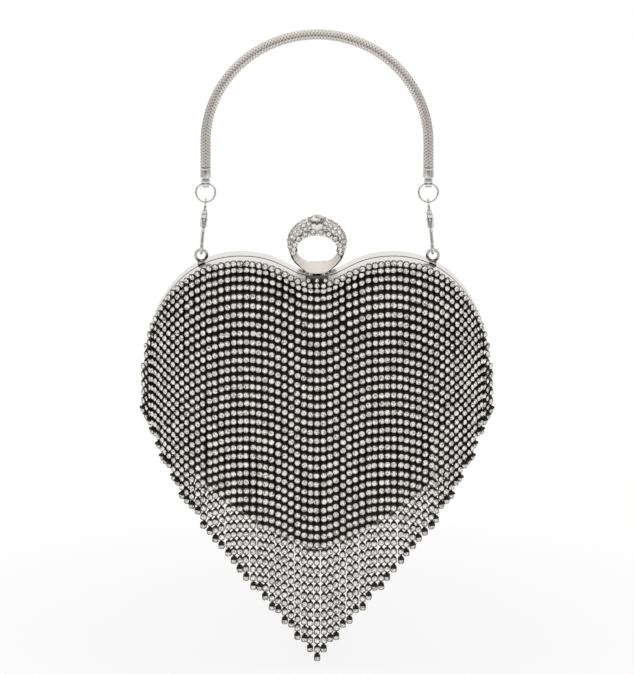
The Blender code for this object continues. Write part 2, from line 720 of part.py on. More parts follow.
def make_ear(name, sign, parent):
    """A loop on the back rim: a flat ring with a foot cut to the rim's slope."""
    x, inner, outer = sign * EAR_X, EAR_BORE / 2, EAR_BORE / 2 + EAR_WIRE
    loop = [(x + outer * math.cos(a), EAR_CENTRE + outer * math.sin(a))
            for a in np.linspace(-EAR_NECK_ANGLE, math.pi + EAR_NECK_ANGLE, EAR_STEPS)]
    half = EAR_FOOT_WIDTH / 2
    feet = [(x + s * half, LOBE_TOP + drop_at(x + s * half) + FIT_GAP) for s in (-1, 1)]
    hole = [(x + inner * math.cos(a), EAR_CENTRE + inner * math.sin(a))
            for a in np.linspace(0, 2 * math.pi, EAR_STEPS, endpoint=False)]
    line = bpy.data.curves.new(name, "CURVE")
    line.dimensions = "2D"
    line.fill_mode = "BOTH"
    line.extrude = EAR_WIRE / 2
    for points in ([*loop, *feet], hole):
        spline = line.splines.new("POLY")
        spline.points.add(len(points) - 1)
        spline.use_cyclic_u = True
        for point, (px, pz) in zip(spline.points, points):
            point.co = (px, pz, 0, 1)
    thing = bpy.data.objects.new(name, line)
    PARTS.objects.link(thing)
    bpy.context.view_layer.update()
    mesh = bpy.data.meshes.new_from_object(thing.evaluated_get(bpy.context.evaluated_depsgraph_get()))
    bpy.data.objects.remove(thing)
    bm = bmesh.new()
    bm.from_mesh(mesh)
    bpy.data.meshes.remove(mesh)
    bmesh.ops.remove_doubles(bm, verts=bm.verts, dist=MERGE_DISTANCE)
    stand = Matrix.Translation((0, HANG_DEPTH, 0)) @ Matrix.Rotation(math.pi / 2, 4, "X")
    bmesh.ops.transform(bm, matrix=stand, verts=bm.verts)
    return solid(name, bm, SILVER, parent)


def make_hinge(back, front):
    """Knuckles below the case's bottom on two leaves, with their pin."""
    radius, bore = HINGE_BARREL / 2, HINGE_PIN / 2 + FIT_GAP
    middle, half = HINGE_MIDDLE_HALF, HINGE_HALF_LENGTH
    leaf_top = CASE_BOTTOM - FIT_GAP
    leaf_low = leaf_top - HINGE_LEAF_WALL
    clear = radius + FIT_GAP
    for name, parent, sign, spans in (
        ("back_hinge_leaf", back, 1, ((-half, -middle - FIT_GAP), (middle + FIT_GAP, half))),
        ("front_hinge_leaf", front, -1, ((-middle, middle),)),
    ):
        near, far = sorted((sign * clear, sign * HINGE_LEAF_DEPTH))
        leaf = solid(name, box_mesh((-half, near, leaf_low), (half, far, leaf_top)), SILVER, parent)
        for k, (low, high) in enumerate(spans):
            knuckle = rod_mesh((low, 0, HINGE_AXIS.z), (high, 0, HINGE_AXIS.z), radius)
            join(leaf, f"{name}_knuckle_{k}", knuckle, SILVER)
            y_low, y_high = sorted((0, sign * (clear + HINGE_LEAF_WALL)))
            trim = JOIN_SHARE * HINGE_LEAF_WALL
            bridge = box_mesh((low + trim, y_low, leaf_low + trim), (high - trim, y_high, leaf_top - trim))
            join(leaf, f"{name}_bridge_{k}", bridge, SILVER)
        hole = rod_mesh((-half - CUT_OVERRUN, 0, HINGE_AXIS.z), (half + CUT_OVERRUN, 0, HINGE_AXIS.z), bore)
        join(leaf, f"{name}_bore", hole, SILVER, "DIFFERENCE")
    pin = rod_mesh((-half, 0, HINGE_AXIS.z), (half, 0, HINGE_AXIS.z), HINGE_PIN / 2)
    solid("hinge_pin", pin, STEEL, back)


def make_lever_seat(back):
    """The bracket on the back rim at the notch, with the lever's pin and spring."""
    inner = LEVER_WIDTH / 2 + FIT_GAP
    outer = inner + BRACKET_LUG_WALL
    foot = LOBE_TOP + drop_at(outer) + FIT_GAP
    radius = LEVER_BARREL / 2
    front, low = BACK_DEPTH + FIT_GAP, NOTCH - FRAME_FLANGE / 2
    toe, heel, top = LEVER_AXIS.y - 2 * radius, LEVER_AXIS.y + radius, LEVER_AXIS.z + radius
    crown = [(LEVER_AXIS.y + radius * math.cos(a), LEVER_AXIS.z + radius * math.sin(a))
             for a in np.linspace(math.pi, 0, ROUND_STEPS // 2 + 1)]
    back_face = LEVER_AXIS.y + radius / 2
    side = [(toe, foot), (toe, LEVER_AXIS.z), *crown, (back_face, LEVER_AXIS.z - radius),
            (back_face, low), (front, low), (front, foot)]
    bracket = solid("lever_bracket", prism_mesh(side, outer), SILVER, back)
    plate_top, plate_back = LEVER_BASE - LOOSE_GAP, front + BRACKET_WALL
    room = [
        (toe - CUT_OVERRUN, plate_top), (plate_back, plate_top), (plate_back, low - CUT_OVERRUN),
        (heel + CUT_OVERRUN, low - CUT_OVERRUN), (heel + CUT_OVERRUN, top + CUT_OVERRUN),
        (toe - CUT_OVERRUN, top + CUT_OVERRUN),
    ]
    join(bracket, "bracket_room", prism_mesh(room, inner), SILVER, "DIFFERENCE")
    reach = outer + CUT_OVERRUN
    hole = rod_mesh((-reach, LEVER_AXIS.y, LEVER_AXIS.z), (reach, LEVER_AXIS.y, LEVER_AXIS.z),
                    LEVER_PIN / 2 + FIT_GAP)
    join(bracket, "bracket_bore", hole, SILVER, "DIFFERENCE")

    end = outer + FIT_GAP
    tip = Vector((end + PIN_HEAD_HEIGHT / 2, 0, 0))
    pin = solid("lever_pin", rod_mesh(LEVER_AXIS - tip, LEVER_AXIS + tip, LEVER_PIN / 2), STEEL, back)
    for name, sign in (("left", -1), ("right", 1)):
        head = rod_mesh((sign * end, LEVER_AXIS.y, LEVER_AXIS.z),
                        (sign * (end + PIN_HEAD_HEIGHT), LEVER_AXIS.y, LEVER_AXIS.z), LEVER_PIN_HEAD / 2)
        join(pin, f"lever_pin_head_{name}", head, STEEL)
    make_lever_spring(back)


def make_lever_spring(back):
    """A torsion spring around the pin, beside the lever's knuckle, with a leg behind the bracket."""
    radius = LEVER_PIN / 2 + FIT_GAP + SPRING_WIRE / 2
    start = LEVER_WIDTH / 2 - FIT_GAP - SPRING_WIRE / 2
    rise = (SPRING_LENGTH - SPRING_WIRE) / SPRING_TURNS
    points = []
    for a in np.linspace(0, 2 * math.pi * SPRING_TURNS, SPRING_TURN_STEPS * SPRING_TURNS + 1):
        points.append((start - rise * a / (2 * math.pi),
                       LEVER_AXIS.y + radius * math.cos(a), LEVER_AXIS.z + radius * math.sin(a)))
    coil = np.array(points)
    apart = [np.linalg.norm(coil[i + SPRING_TURN_STEPS // 2:] - coil[i], axis=1).min()
             for i in range(len(coil) - SPRING_TURN_STEPS // 2)]
    print("lever spring's least gap to itself", round((min(apart) - SPRING_WIRE) / MM, 3), "mm")
    leg = (points[0][0], points[0][1], points[0][2] - SPRING_LEG)
    spring = curve_tube("lever_spring", [leg, *points], SPRING_WIRE / 2, 1, True, STEEL)
    hang(spring, back)


def make_lever(parent):
    """The lever plate with its knuckle behind and its lip in front, and the finger ring on it."""
    half = LEVER_WIDTH / 2
    knuckle_end = half - SPRING_LENGTH - 2 * FIT_GAP
    lip_front = -(LIP_FACE + LEVER_WALL)
    plate = box_mesh((-half, lip_front, LEVER_BASE), (half, LEVER_AXIS.y - LEVER_BARREL / 2, LEVER_TOP))
    lever = solid("lever_plate", plate, SILVER, parent)
    neck = box_mesh((-half, LEVER_AXIS.y - LEVER_BARREL / 2 - LEVER_WALL, LEVER_BASE),
                    (knuckle_end, LEVER_AXIS.y, LEVER_TOP))
    join(lever, "lever_neck", neck, SILVER)
    knuckle = rod_mesh((-half, LEVER_AXIS.y, LEVER_AXIS.z), (knuckle_end, LEVER_AXIS.y, LEVER_AXIS.z),
                       LEVER_BARREL / 2)
    join(lever, "lever_knuckle", knuckle, SILVER)
    lip = box_mesh((-half, lip_front, LEVER_TOP - LIP_DROP), (half, -LIP_FACE, LEVER_TOP - LEVER_WALL / 2))
    join(lever, "lever_lip", lip, SILVER)
    hole = rod_mesh((-half - CUT_OVERRUN, LEVER_AXIS.y, LEVER_AXIS.z),
                    (half + CUT_OVERRUN, LEVER_AXIS.y, LEVER_AXIS.z), LEVER_PIN / 2 + FIT_GAP)
    join(lever, "lever_bore", hole, SILVER, "DIFFERENCE")
    make_finger_ring(parent)


def make_finger_ring(parent):
    """A ring whose bore is round and whose outside grows towards the crown, with the stone on top."""
    rings = []
    for a in np.linspace(0, 2 * math.pi, RING_STEPS, endpoint=False):
        up = math.sin(a)
        inner = np.array([math.cos(a), math.sin(a)]) * RING_BORE / 2 + (0, RING_CENTRE)
        side_height = RING_CENTRE + RING_CROWN_RISE
        tall = RING_CROWN - side_height if up > 0 else side_height - RING_BASE
        outer = np.array([RING_OUTER / 2 * math.cos(a), side_height + tall * up])
        wide = (RING_BASE_WIDTH + (RING_TOP_WIDTH - RING_BASE_WIDTH) * (1 + up) / 2) / 2
        shoulder = inner + RING_SHOULDER_SHARE * (outer - inner)
        flat = 2 * RING_FLAT_SHARE * wide
        rings.append([
            (inner[0], -wide, inner[1]), (inner[0], wide, inner[1]),
            (shoulder[0], wide, shoulder[1]), (outer[0], flat, outer[1]),
            (outer[0], -flat, outer[1]), (shoulder[0], -wide, shoulder[1]),
        ])
    ring = solid("finger_ring", loft_mesh(rings, close_loop=True), SILVER, parent)
    seat_top = RING_CROWN + BEZEL_PROUD
    bezel_radius = STONE_DIAMETER / 2 + FIT_GAP + BEZEL_WALL
    seat_floor = seat_top - BEZEL_HEIGHT
    pocket = rod_mesh((0, 0, seat_floor - FIT_GAP), (0, 0, seat_top + CUT_OVERRUN), bezel_radius + FIT_GAP,
                      steps=BEZEL_STEPS)
    join(ring, "bezel_pocket", pocket, SILVER, "DIFFERENCE")
    foot = BEZEL_FOOT_SHARE * bezel_radius
    waist = BEZEL_WAIST_SHARE * BEZEL_HEIGHT
    inside = bezel_radius - BEZEL_WALL
    profile = [
        (inside, BEZEL_HEIGHT), (bezel_radius, BEZEL_HEIGHT), (bezel_radius, waist),
        (foot, 0), (foot - BEZEL_WALL, 0), (inside, waist + BEZEL_WALL / 2), (inside, BEZEL_HEIGHT),
    ]
    turned("ring_bezel", profile, (0, 0, seat_floor), SILVER, parent, BEZEL_STEPS)
    girdle = STONE_DIAMETER / 2
    point = STONE_POINT_SHARE * (foot - BEZEL_WALL - FIT_GAP)
    stone = [
        (0, STONE_CROWN), (STONE_TABLE_SHARE * girdle, STONE_CROWN), (girdle, 0), (girdle, -BEZEL_WALL),
        (point, BEZEL_WALL - waist), (0, -waist),
    ]
    turned("ring_stone", stone, (0, 0, seat_top), CRYSTAL, parent, STONE_STEPS)


def make_catch(front):
    """A half-round ridge on the front rim's face, which the lever's lip snaps over."""
    height = LEVER_TOP - LIP_DROP + CATCH_DIAMETER / 2
    half = CATCH_LENGTH / 2
    y = -(FRONT_DEPTH + FIT_GAP + CATCH_DIAMETER / 2)
    ridge = rod_mesh((-half, y, height), (half, y, height), CATCH_DIAMETER / 2, steps=10)
    solid("catch_stud", ridge, SILVER, front)


def strand_places():
    """x of each strand on the right half, from the middle out: even along the rim, closer at the side."""
    curve = half_outline()
    top = curve[: int(np.argmax(curve[:, 0])) + 1]
    reach = lengths_along(top)
    places, last = [0.0], CASE_HALF_WIDTH - STRAND_SIDE_INSET
    while True:
        here = np.interp(places[-1], top[:, 0], reach)
        by_rim = np.interp(here + STRAND_PITCH, reach, top[:, 0]) - places[-1]
        step = max(by_rim, STRAND_SIDE_PITCH)
        if places[-1] + step > last:
            return places
        places.append(places[-1] + step)


def laid(x, top, low):
    """A strand's back over the dome, going down and never turning back in: (distances out, heights).

    Each row is moved out by the most that a straight piece between two rows would dip into the dome.
    """
    fine = np.linspace(top, low, DRAPE_STEPS)
    lift = dome_lift(share_to_rim(np.full(len(fine), x), fine, SHELL_INSET))
    out = np.maximum.accumulate(FRONT_DEPTH + STRAND_CLEAR + DOME_RISE * lift)
    stay = top - STRAND_STAY
    heights = np.array([top, *(stay - share * (stay - low) for share in STRAND_ROW_SHARES)])
    rows = np.interp(-heights, -fine, out)
    return rows + np.max(out - np.interp(-fine, -heights, rows)), heights


def strand_end(k, last):
    """Height of strand k's end: the ends fall evenly towards the middle strand."""
    return LOBE_TOP - FRINGE_TIP_DROP + (FRINGE_TIP_DROP - FRINGE_SIDE_DROP) * abs(k) / last


def comb_mesh(edges, rows_at, stay_rows):
    """A strip for each strand, all joined by the first rows; edges are the strips' sides."""
    bm = bmesh.new()
    columns = []
    for sides in edges:
        columns.append([[bm.verts.new(p) for p in rows_at(x)] for x in sides])
    for k, (one, two) in enumerate(columns):
        for r in range(len(one) - 1):
            bm.faces.new((one[r], two[r], two[r + 1], one[r + 1]))
        if k + 1 < len(columns):
            after = columns[k + 1][0]
            for r in range(stay_rows):
                bm.faces.new((two[r], after[r], after[r + 1], two[r + 1]))
    return bm


def make_strands(front, fringe_parents):
    """On the dome, and free below its fullest part, in groups that each hang from one stay."""
    right = strand_places()
    last = len(right) - 1
    places = [(-k, -right[k]) for k in range(last, 0, -1)] + [(k, right[k]) for k in range(last + 1)]
    groups = np.array_split(np.arange(len(places)), STRAND_GROUPS)
    lip_low = LEVER_TOP - LIP_DROP - STRAND_THICK - LOOSE_GAP
    for g, members in enumerate(groups):
        free_top = free_start(np.mean([places[m][1] for m in members]))
        edges, ends = [], {}
        for m in members:
            k, x = places[m]
            near = min(abs(x - places[n][1]) for n in (m - 1, m + 1) if 0 <= n < len(places))
            half = STRAND_SHARE * near / 2
            edges.append((x - half, x + half))
            ends[x - half] = ends[x + half] = strand_end(k, last)

        def rim_at(x):
            rim = LOBE_TOP + drop_at(x) - STRAND_RIM_INSET
            if abs(x) < LEVER_WIDTH / 2 + STRAND_PITCH:
                return min(rim, lip_low)
            return rim

        def on_dome(x):
            return [(x, -out, z) for out, z in zip(*laid(x, rim_at(x), free_top))]

        def below_dome(x, ends=ends):
            out = laid(x, rim_at(x), free_top)[0][-1]
            top = free_top - FIT_GAP
            return [(x, -out, z) for z in (top, top - STRAND_STAY, min(ends[x], top - 2 * STRAND_STAY))]

        for name, rows_at, parent in (
            (f"strands_{g + 1}", on_dome, front), (f"fringe_{g + 1}", below_dome, fringe_parents[g]),
        ):
            bm = comb_mesh(edges, rows_at, 1)
            face_away(bm, CASE_MIDDLE)
            comb = solid(name, bm, STRAND, parent, recalc=False)
            thicken(comb, STRAND_THICK, 1.0)


def free_start(x):
    """Height at which the strands around x leave the dome and hang free."""
    return LOBE_TOP - FREE_START_DROP - FREE_START_FALL * (1 - abs(x) / CASE_HALF_WIDTH)


def fringe_axes():
    """For each group of strands, the axis that its free ends swing about."""
    right = strand_places()
    xs = np.array([-x for x in right[:0:-1]] + right)
    axes = []
    for members in np.array_split(np.arange(len(xs)), STRAND_GROUPS):
        height = free_start(np.mean(xs[members]))
        inner = xs[members][np.argmin(np.abs(xs[members]))]
        rim = LOBE_TOP + drop_at(inner) - STRAND_RIM_INSET
        out = laid(inner, rim, height)[0][-1] + STRAND_THICK
        axes.append(Vector((float(np.mean(xs[members])), -out, height)))
    return axes


clear_scene()
PARTS = collection("heart_clutch")
CUTTERS = collection("cutters")
SILVER = finish("silver", (0.86, 0.85, 0.83), 0.16, 1.0)
SNAKE = finish("snake_chain", (0.72, 0.71, 0.69), 0.3, 1.0)
STEEL = finish("steel", (0.55, 0.55, 0.56), 0.35, 1.0)
SATIN = finish("black_satin", (0.012, 0.011, 0.012), 0.55, 0.0)
LINING = finish("lining_satin", (0.03, 0.028, 0.03), 0.6, 0.0)
STRAND = finish("stone_strand", (0.62, 0.61, 0.59), 0.25, 0.6)
CRYSTAL = finish("crystal", (0.92, 0.93, 0.95), 0.05, 0.0)


def main():
    handle = axis_empty("handle_axis", (0, HANG_DEPTH, 0))
    hangers = {}
    for side, sign in (("left", -1), ("right", 1)):
        x = sign * HANDLE_HALF_SPAN
        ring = axis_empty(f"jump_ring_axis_{side}", (x, HANG_DEPTH, CAP_LOOP_HEIGHT), handle)
        middle = (x, HANG_DEPTH, CAP_LOOP_HEIGHT - JUMP_RING_RADIUS)
        wire = ring_mesh(middle, JUMP_RING_RADIUS, JUMP_RING_WIRE, (1, 0, 0))
        solid(f"jump_ring_{side}", wire, SILVER, ring)
        hanger = axis_empty(f"clasp_axis_{side}", (x, HANG_DEPTH, RING_BOTTOM), ring)
        pivot = lean_matrix(sign) @ TRIGGER_PIVOT
        make_clasp_eye(side, sign, hanger)
        make_clasp_body(side, sign, hanger)
        make_trigger(side, sign, axis_empty(f"trigger_axis_{side}", pivot, hanger))
        hangers[side] = hanger
        print(f"trigger_{side}", [round(v, 6) for v in pivot])
    make_handle(handle)

    back = axis_empty("case_axis", (0, HANG_DEPTH, EAR_PIVOT), handle)
    make_frame("back_frame", BACK_DEPTH, 1, back)
    make_shell("back_shell", BACK_DEPTH, 1, SATIN, back)
    make_lining("back_lining", BACK_DEPTH, 1, back)
    make_slip_pocket(back)
    make_ear("ear_left", -1, back)
    make_ear("ear_right", 1, back)
    make_lever_seat(back)

    front = axis_empty("lid_axis", HINGE_AXIS, back)
    make_frame("front_frame", FRONT_DEPTH, -1, front)
    make_shell("front_shell", FRONT_DEPTH, -1, SATIN, front)
    make_lining("front_lining", FRONT_DEPTH, -1, front)
    make_catch(front)
    make_hinge(back, front)
    make_lever(axis_empty("lever_axis", LEVER_AXIS, back))

    fringes = [axis_empty(f"fringe_axis_{g + 1}", place, front) for g, place in enumerate(fringe_axes())]
    make_strands(front, fringes)
    for g, mark in enumerate(fringes):
        print(f"fringe_{g + 1}", [round(v, 6) for v in mark["place"]])
    for name, place in (
        ("ring axis", (HANDLE_HALF_SPAN, HANG_DEPTH, CAP_LOOP_HEIGHT)),
        ("clasp axis", (HANDLE_HALF_SPAN, HANG_DEPTH, RING_BOTTOM)),
        ("case axis", (EAR_X, HANG_DEPTH, EAR_PIVOT)), ("hinge axis", HINGE_AXIS),
        ("lever axis", LEVER_AXIS), ("lobe top, notch, bottom", (LOBE_TOP, NOTCH, CASE_BOTTOM)),
        ("ring centre, crown, dome centre", (RING_CENTRE, RING_CROWN, DOME_CENTRE)),
    ):
        print(name, [round(v, 6) for v in place])


if __name__ == "__main__":
    main()
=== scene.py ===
import json
import math

import bpy
import numpy as np
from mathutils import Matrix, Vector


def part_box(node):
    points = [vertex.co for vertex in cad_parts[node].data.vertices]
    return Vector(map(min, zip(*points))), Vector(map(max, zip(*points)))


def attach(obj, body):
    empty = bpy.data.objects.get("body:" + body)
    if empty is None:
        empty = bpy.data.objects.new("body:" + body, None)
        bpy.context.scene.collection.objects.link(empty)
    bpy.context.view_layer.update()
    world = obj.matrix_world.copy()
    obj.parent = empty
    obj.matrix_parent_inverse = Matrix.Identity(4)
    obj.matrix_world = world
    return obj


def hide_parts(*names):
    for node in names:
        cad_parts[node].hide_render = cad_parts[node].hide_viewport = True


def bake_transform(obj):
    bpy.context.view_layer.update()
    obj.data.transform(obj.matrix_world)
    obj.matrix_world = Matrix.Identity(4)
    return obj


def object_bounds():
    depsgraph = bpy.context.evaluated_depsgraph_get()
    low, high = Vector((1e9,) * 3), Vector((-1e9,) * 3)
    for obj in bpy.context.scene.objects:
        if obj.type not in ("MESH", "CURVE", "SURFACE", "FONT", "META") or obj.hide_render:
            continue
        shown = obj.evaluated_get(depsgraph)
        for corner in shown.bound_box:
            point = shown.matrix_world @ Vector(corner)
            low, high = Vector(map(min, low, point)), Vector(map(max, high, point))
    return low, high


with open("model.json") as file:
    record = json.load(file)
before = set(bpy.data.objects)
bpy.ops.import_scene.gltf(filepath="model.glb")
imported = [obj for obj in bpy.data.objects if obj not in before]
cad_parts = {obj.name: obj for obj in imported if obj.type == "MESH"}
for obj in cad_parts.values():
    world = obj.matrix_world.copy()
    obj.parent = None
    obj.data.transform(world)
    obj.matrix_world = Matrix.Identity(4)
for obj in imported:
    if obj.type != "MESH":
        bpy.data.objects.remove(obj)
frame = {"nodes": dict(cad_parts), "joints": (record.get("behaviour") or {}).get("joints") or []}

# Heart-shaped evening clutch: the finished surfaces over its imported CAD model.
# Lengths in the functions are millimetres; a piece's mesh is made metres when it is finished.

bl_info = {
    "name": "Heart clutch",
    "version": (1, 0, 0),
    "blender": (4, 5, 0),
    "location": "View3D > Sidebar > Heart clutch",
    "description": "Builds a heart-shaped stone clutch over its CAD model",
    "category": "Object",
}

MM = 0.001
TURN = 2 * math.pi
CAD_BOX = [list(corner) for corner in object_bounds()]
SIDES = (("left", -1), ("right", 1))


def joint(name):
    """A place on a joint's axis, in metres."""
    return next(tuple(j["pos_m"]) for j in frame["joints"] if j["name"] == name)


# Places that the CAD model fixes, in millimetres: those of its joints, and heights of its pieces
HANDLE_X, HANG_DEPTH, LOOP_HEIGHT = (v / MM for v in joint("jump_ring_right_swing"))
RING_BOTTOM = joint("clasp_right_swing")[2] / MM
HINGE_HEIGHT = joint("lid_open")[2] / MM
PIN_DEPTH, PIN_HEIGHT = (v / MM for v in joint("lever_lift")[1:])
LEVER_TOP = PIN_HEIGHT - 0.9
RING_CENTRE = LEVER_TOP + 10.85
RING_CROWN = LEVER_TOP + 26.9
CUP_FLOOR = LEVER_TOP + 24.2
LOBE_TOP = -106.765
ARC_HEIGHT = -50.9
SLEEVE_END = -62.7
CAP_TOP = -63.0
EAR_X, EAR_HEIGHT = 55.511, -106.458
CLASP_LEAN = math.radians(4.9)
# How many wires wind round the snake chain each way
HELICES = 6
WHITE = (1, 1, 1)


def number(name, default, description, **kind):
    """A number that a user may change."""
    return bpy.props.FloatProperty(name=name, default=default, description=description, **kind)


def length(name, default, description, top=0.5):
    """A length given in millimetres and kept in metres."""
    return number(name, default * MM, description, min=0, max=top, precision=5, unit="LENGTH")


def colour(name, default, description):
    """A colour that a user may change."""
    return bpy.props.FloatVectorProperty(name=name, default=default, description=description,
                                         size=3, min=0, max=1, subtype="COLOR")


class ClutchCaseSizes(bpy.types.PropertyGroup):
    """Sizes of the two-half case."""
    half_width: length("Half width", 82.3, "From the middle to the heart's widest point")
    height: length("Height", 143.5, "From the lobes' top to the bottom")
    notch: length("Notch", 10.0, "How far the notch lies below the lobes")
    back_depth: length("Back rim depth", 10.7, "Depth of the back metal rim")
    front_depth: length("Front rim depth", 9.8, "Depth of the front metal rim")
    dome: length("Dome", 15.0, "How far each dome stands out of its rim")
    wall: length("Rim wall", 1.3, "Thickness of the metal rims")


class ClutchStrandSizes(bpy.types.PropertyGroup):
    """Sizes of the hanging stone strands."""
    stone: length("Stone", 2.78, "Diameter of a stone")
    cup: length("Cup", 3.0, "Width of a stone's metal cup")
    step: length("Step", 4.33, "From stone to stone down a strand")
    spacing: length("Spacing", 3.0, "From strand to strand along the rim, a little more in the middle")
    tip: length("Tip drop", 195.1, "From the lobes' top to the end of the middle strand")
    side: length("Side drop", 75.0, "From the lobes' top to the end of the last strand")
    seed: bpy.props.IntProperty(name="Seed", default=7, description="Start of the random draws")


class ClutchHandleSizes(bpy.types.PropertyGroup):
    """Sizes of the snake chain and the small hardware."""
    chain: length("Chain", 4.9, "Diameter of the snake chain")
    band: length("Mesh", 1.6, "Length of one mesh of the snake chain")
    ring: length("Jump ring", 10.2, "Diameter of the jump rings")
    wire: length("Ring wire", 0.95, "Wire of the jump rings")
    stone: length("Large stone", 6.8, "Diameter of the large stone")
    pave: length("Small stone", 2.3, "Diameter of the stones set in the finger ring")


class ClutchColours(bpy.types.PropertyGroup):
    """Colours of the finishes."""
    silver: colour("Silver", (0.80, 0.785, 0.745), "Polished plating")
    chain: colour("Snake chain", (0.86, 0.815, 0.75), "Snake chain")
    steel: colour("Steel", (0.55, 0.55, 0.56), "Pins and spring")
    satin: colour("Satin", (0.008, 0.007, 0.0065), "Satin over the domes")
    lining: colour("Lining", (0.03, 0.028, 0.03), "Satin inside")
    stone: colour("Stones", (0.93, 0.895, 0.84), "Stones of the strands")
    cup: colour("Cups", (0.11, 0.10, 0.09), "Cups of the stones")
    # Painted shade: this near-black colour stands for shade and dark reflections on the cups, in the rims'
    # seam, on the lever's lip and on the ring's lower front edge
    link: colour("Links", (0.011, 0.0095, 0.0085), "Dark links between the cups")
    floor: colour("Floor", (0.95, 0.95, 0.95), "Floor of the stage")


class ClutchStage(bpy.types.PropertyGroup):
    """Camera and light."""
    distance: length("Distance", 8000.0, "From the camera to the middle of the object", 20)
    raised: number("Elevation", math.radians(15), "How far the camera looks down", subtype="ANGLE")
    key: number("Key light", 5.5, "Power of the large soft lamps", min=0, unit="POWER")
    sky: number("Surroundings", 0.22, "Light from all round", min=0, max=1, subtype="FACTOR")


class ClutchSettings(bpy.types.PropertyGroup):
    """All that a user may change."""
    case: bpy.props.PointerProperty(type=ClutchCaseSizes)
    strands: bpy.props.PointerProperty(type=ClutchStrandSizes)
    handle: bpy.props.PointerProperty(type=ClutchHandleSizes)
    colours: bpy.props.PointerProperty(type=ClutchColours)
    stage: bpy.props.PointerProperty(type=ClutchStage)


# Lines

def unit(vectors):
    """Each vector over its length."""
    return vectors / np.linalg.norm(vectors, axis=-1, keepdims=True)


def bearings(count):
    """Even angles once round."""
    return np.linspace(0, TURN, count, endpoint=False)


def arc(a, radius, across=0.0, up=0.0):
    """Points of a circle at the angles a: (across + radius cos a, up + radius sin a)."""
    return np.column_stack([across + radius * np.cos(a), up + radius * np.sin(a)])


def rectangle(x, y, far_x, far_y):
    """Four corners, from one to the one across from it."""
    return np.array([(x, y), (far_x, y), (far_x, far_y), (x, far_y)])


def upright(line, depth):
    """A plane line of (x, z) stood up at a depth, or at one depth a point."""
    return np.column_stack([line[:, 0], np.broadcast_to(depth, len(line)), line[:, 1]])


def level(line, height):
    """A plane line of (x, y) laid at a height."""
    return np.column_stack([line, np.full(len(line), height)])


def bezier(start, leave, arrive, end, count):
    """Points of one cubic curve, without its last one."""
    t = np.linspace(0, 1, count, endpoint=False)[:, None]
    start, leave, arrive, end = (np.array(p, float) for p in (start, leave, arrive, end))
    return (1 - t) ** 3 * start + 3 * (1 - t) ** 2 * t * leave + 3 * (1 - t) * t**2 * arrive + t**3 * end


def along(points):
    """Distance along a line of points to each of them."""
    return np.concatenate([[0], np.cumsum(np.linalg.norm(np.diff(points, axis=0), axis=1))])


def evenly(points, count):
    """Points at even distances along a line."""
    reach = along(points)
    at = np.linspace(0, reach[-1], count)
    return np.column_stack([np.interp(at, reach, axis) for axis in points.T])


def inward(loop):
    """For a closed plane line, the direction inwards at each point, square to its neighbours' chord."""
    chord = np.roll(loop, -1, 0) - np.roll(loop, 1, 0)
    turn = np.sum(loop[:, 0] * np.roll(loop[:, 1], -1) - np.roll(loop[:, 0], -1) * loop[:, 1])
    return np.sign(turn) * np.column_stack([-chord[:, 1], chord[:, 0]])


def rounded(loop, radius, steps=3):
    """Each corner of a closed line gives way to a quadratic curve that starts and ends a radius
    away from it, or at the middle of a shorter side. Works on many lines at once."""
    radius = np.broadcast_to(radius, loop.shape[:-1])[..., None]

    def towards(other):
        away = other - loop
        reach = np.maximum(np.linalg.norm(away, axis=-1, keepdims=True), 1e-9)
        return loop + away * np.minimum(radius / reach, 0.49)

    corner = (towards(np.roll(loop, 1, -2)), loop, towards(np.roll(loop, -1, -2)))
    one, mid, two = (p[..., None, :] for p in corner)
    t = np.linspace(0, 1, steps + 1)[:, None]
    arcs = (1 - t) ** 2 * one + 2 * t * (1 - t) * mid + t**2 * two
    return arcs.reshape(*loop.shape[:-2], -1, loop.shape[-1])


# Rings of points, which a skin makes a closed surface

def tube(path, radii, across, steps=16):
    """Rings round a path: path + radius * (cos a * side + sin a * up), where side is square to the
    path and to up, and up is as near to the given direction as can be. The radius may be one number,
    one a ring, or one a ring and step."""
    path, radii = np.asarray(path, float), np.asarray(radii, float)
    forward = unit(np.gradient(path, axis=0))
    side = unit(np.cross(forward, np.broadcast_to(across, path.shape)))
    up = np.cross(side, forward)
    a = bearings(steps)[:, None]
    if radii.ndim < 2:
        radii = np.broadcast_to(radii, len(path))[:, None]
    return path[:, None] + radii[..., None] * (np.cos(a) * side[:, None] + np.sin(a) * up[:, None])


def rod(path, radius, across, steps=16, ends=4):
    """A tube with both ends rounded off: going out from each end by 0.6 r cos a the radius is
    r sin a."""
    path = np.asarray(path, float)
    radius = np.broadcast_to(radius, len(path))
    a = np.linspace(0.08, 1, ends, endpoint=False) * math.pi / 2
    head, tail = unit(path[1] - path[0]), unit(path[-1] - path[-2])
    first = path[0] - head * radius[0] * 0.6 * np.cos(a)[:, None]
    last = path[-1] + tail * radius[-1] * 0.6 * np.cos(a)[::-1, None]
    radii = np.concatenate([radius[0] * np.sin(a), radius, radius[-1] * np.sin(a)[::-1]])
    return tube(np.vstack([first, path, last]), radii, across, steps)


def pin(half, depth, height, radius, steps, middle=0.0):
    """A rod from left to right."""
    return rod([(middle + x, depth, height) for x in (-half, 0, half)], radius, (0, 1, 0), steps)


def turned(profile, place, steps=40):
    """Rings of a profile of (radius, height) turned about the vertical through a place."""
    r, h = np.asarray(profile, float).T[..., None]
    a = bearings(steps)
    return np.array(place) + np.stack([r * np.cos(a), r * np.sin(a), h + 0 * a], -1)


def strip(profile, half, edge=0.25):
    """A closed profile of (y, z) carried across from -x to x, drawn in a little at both ends."""
    inner = profile + edge * unit(inward(profile))
    rings = ((inner, -half), (profile, edge - half), (profile, half - edge), (inner, half))
    return np.stack([np.column_stack([np.full(len(p), x), p]) for p, x in rings])


def round_trip(count):
    """The numbers of a closed line's points, and of the point after each."""
    return np.arange(count), np.roll(np.arange(count), -1)


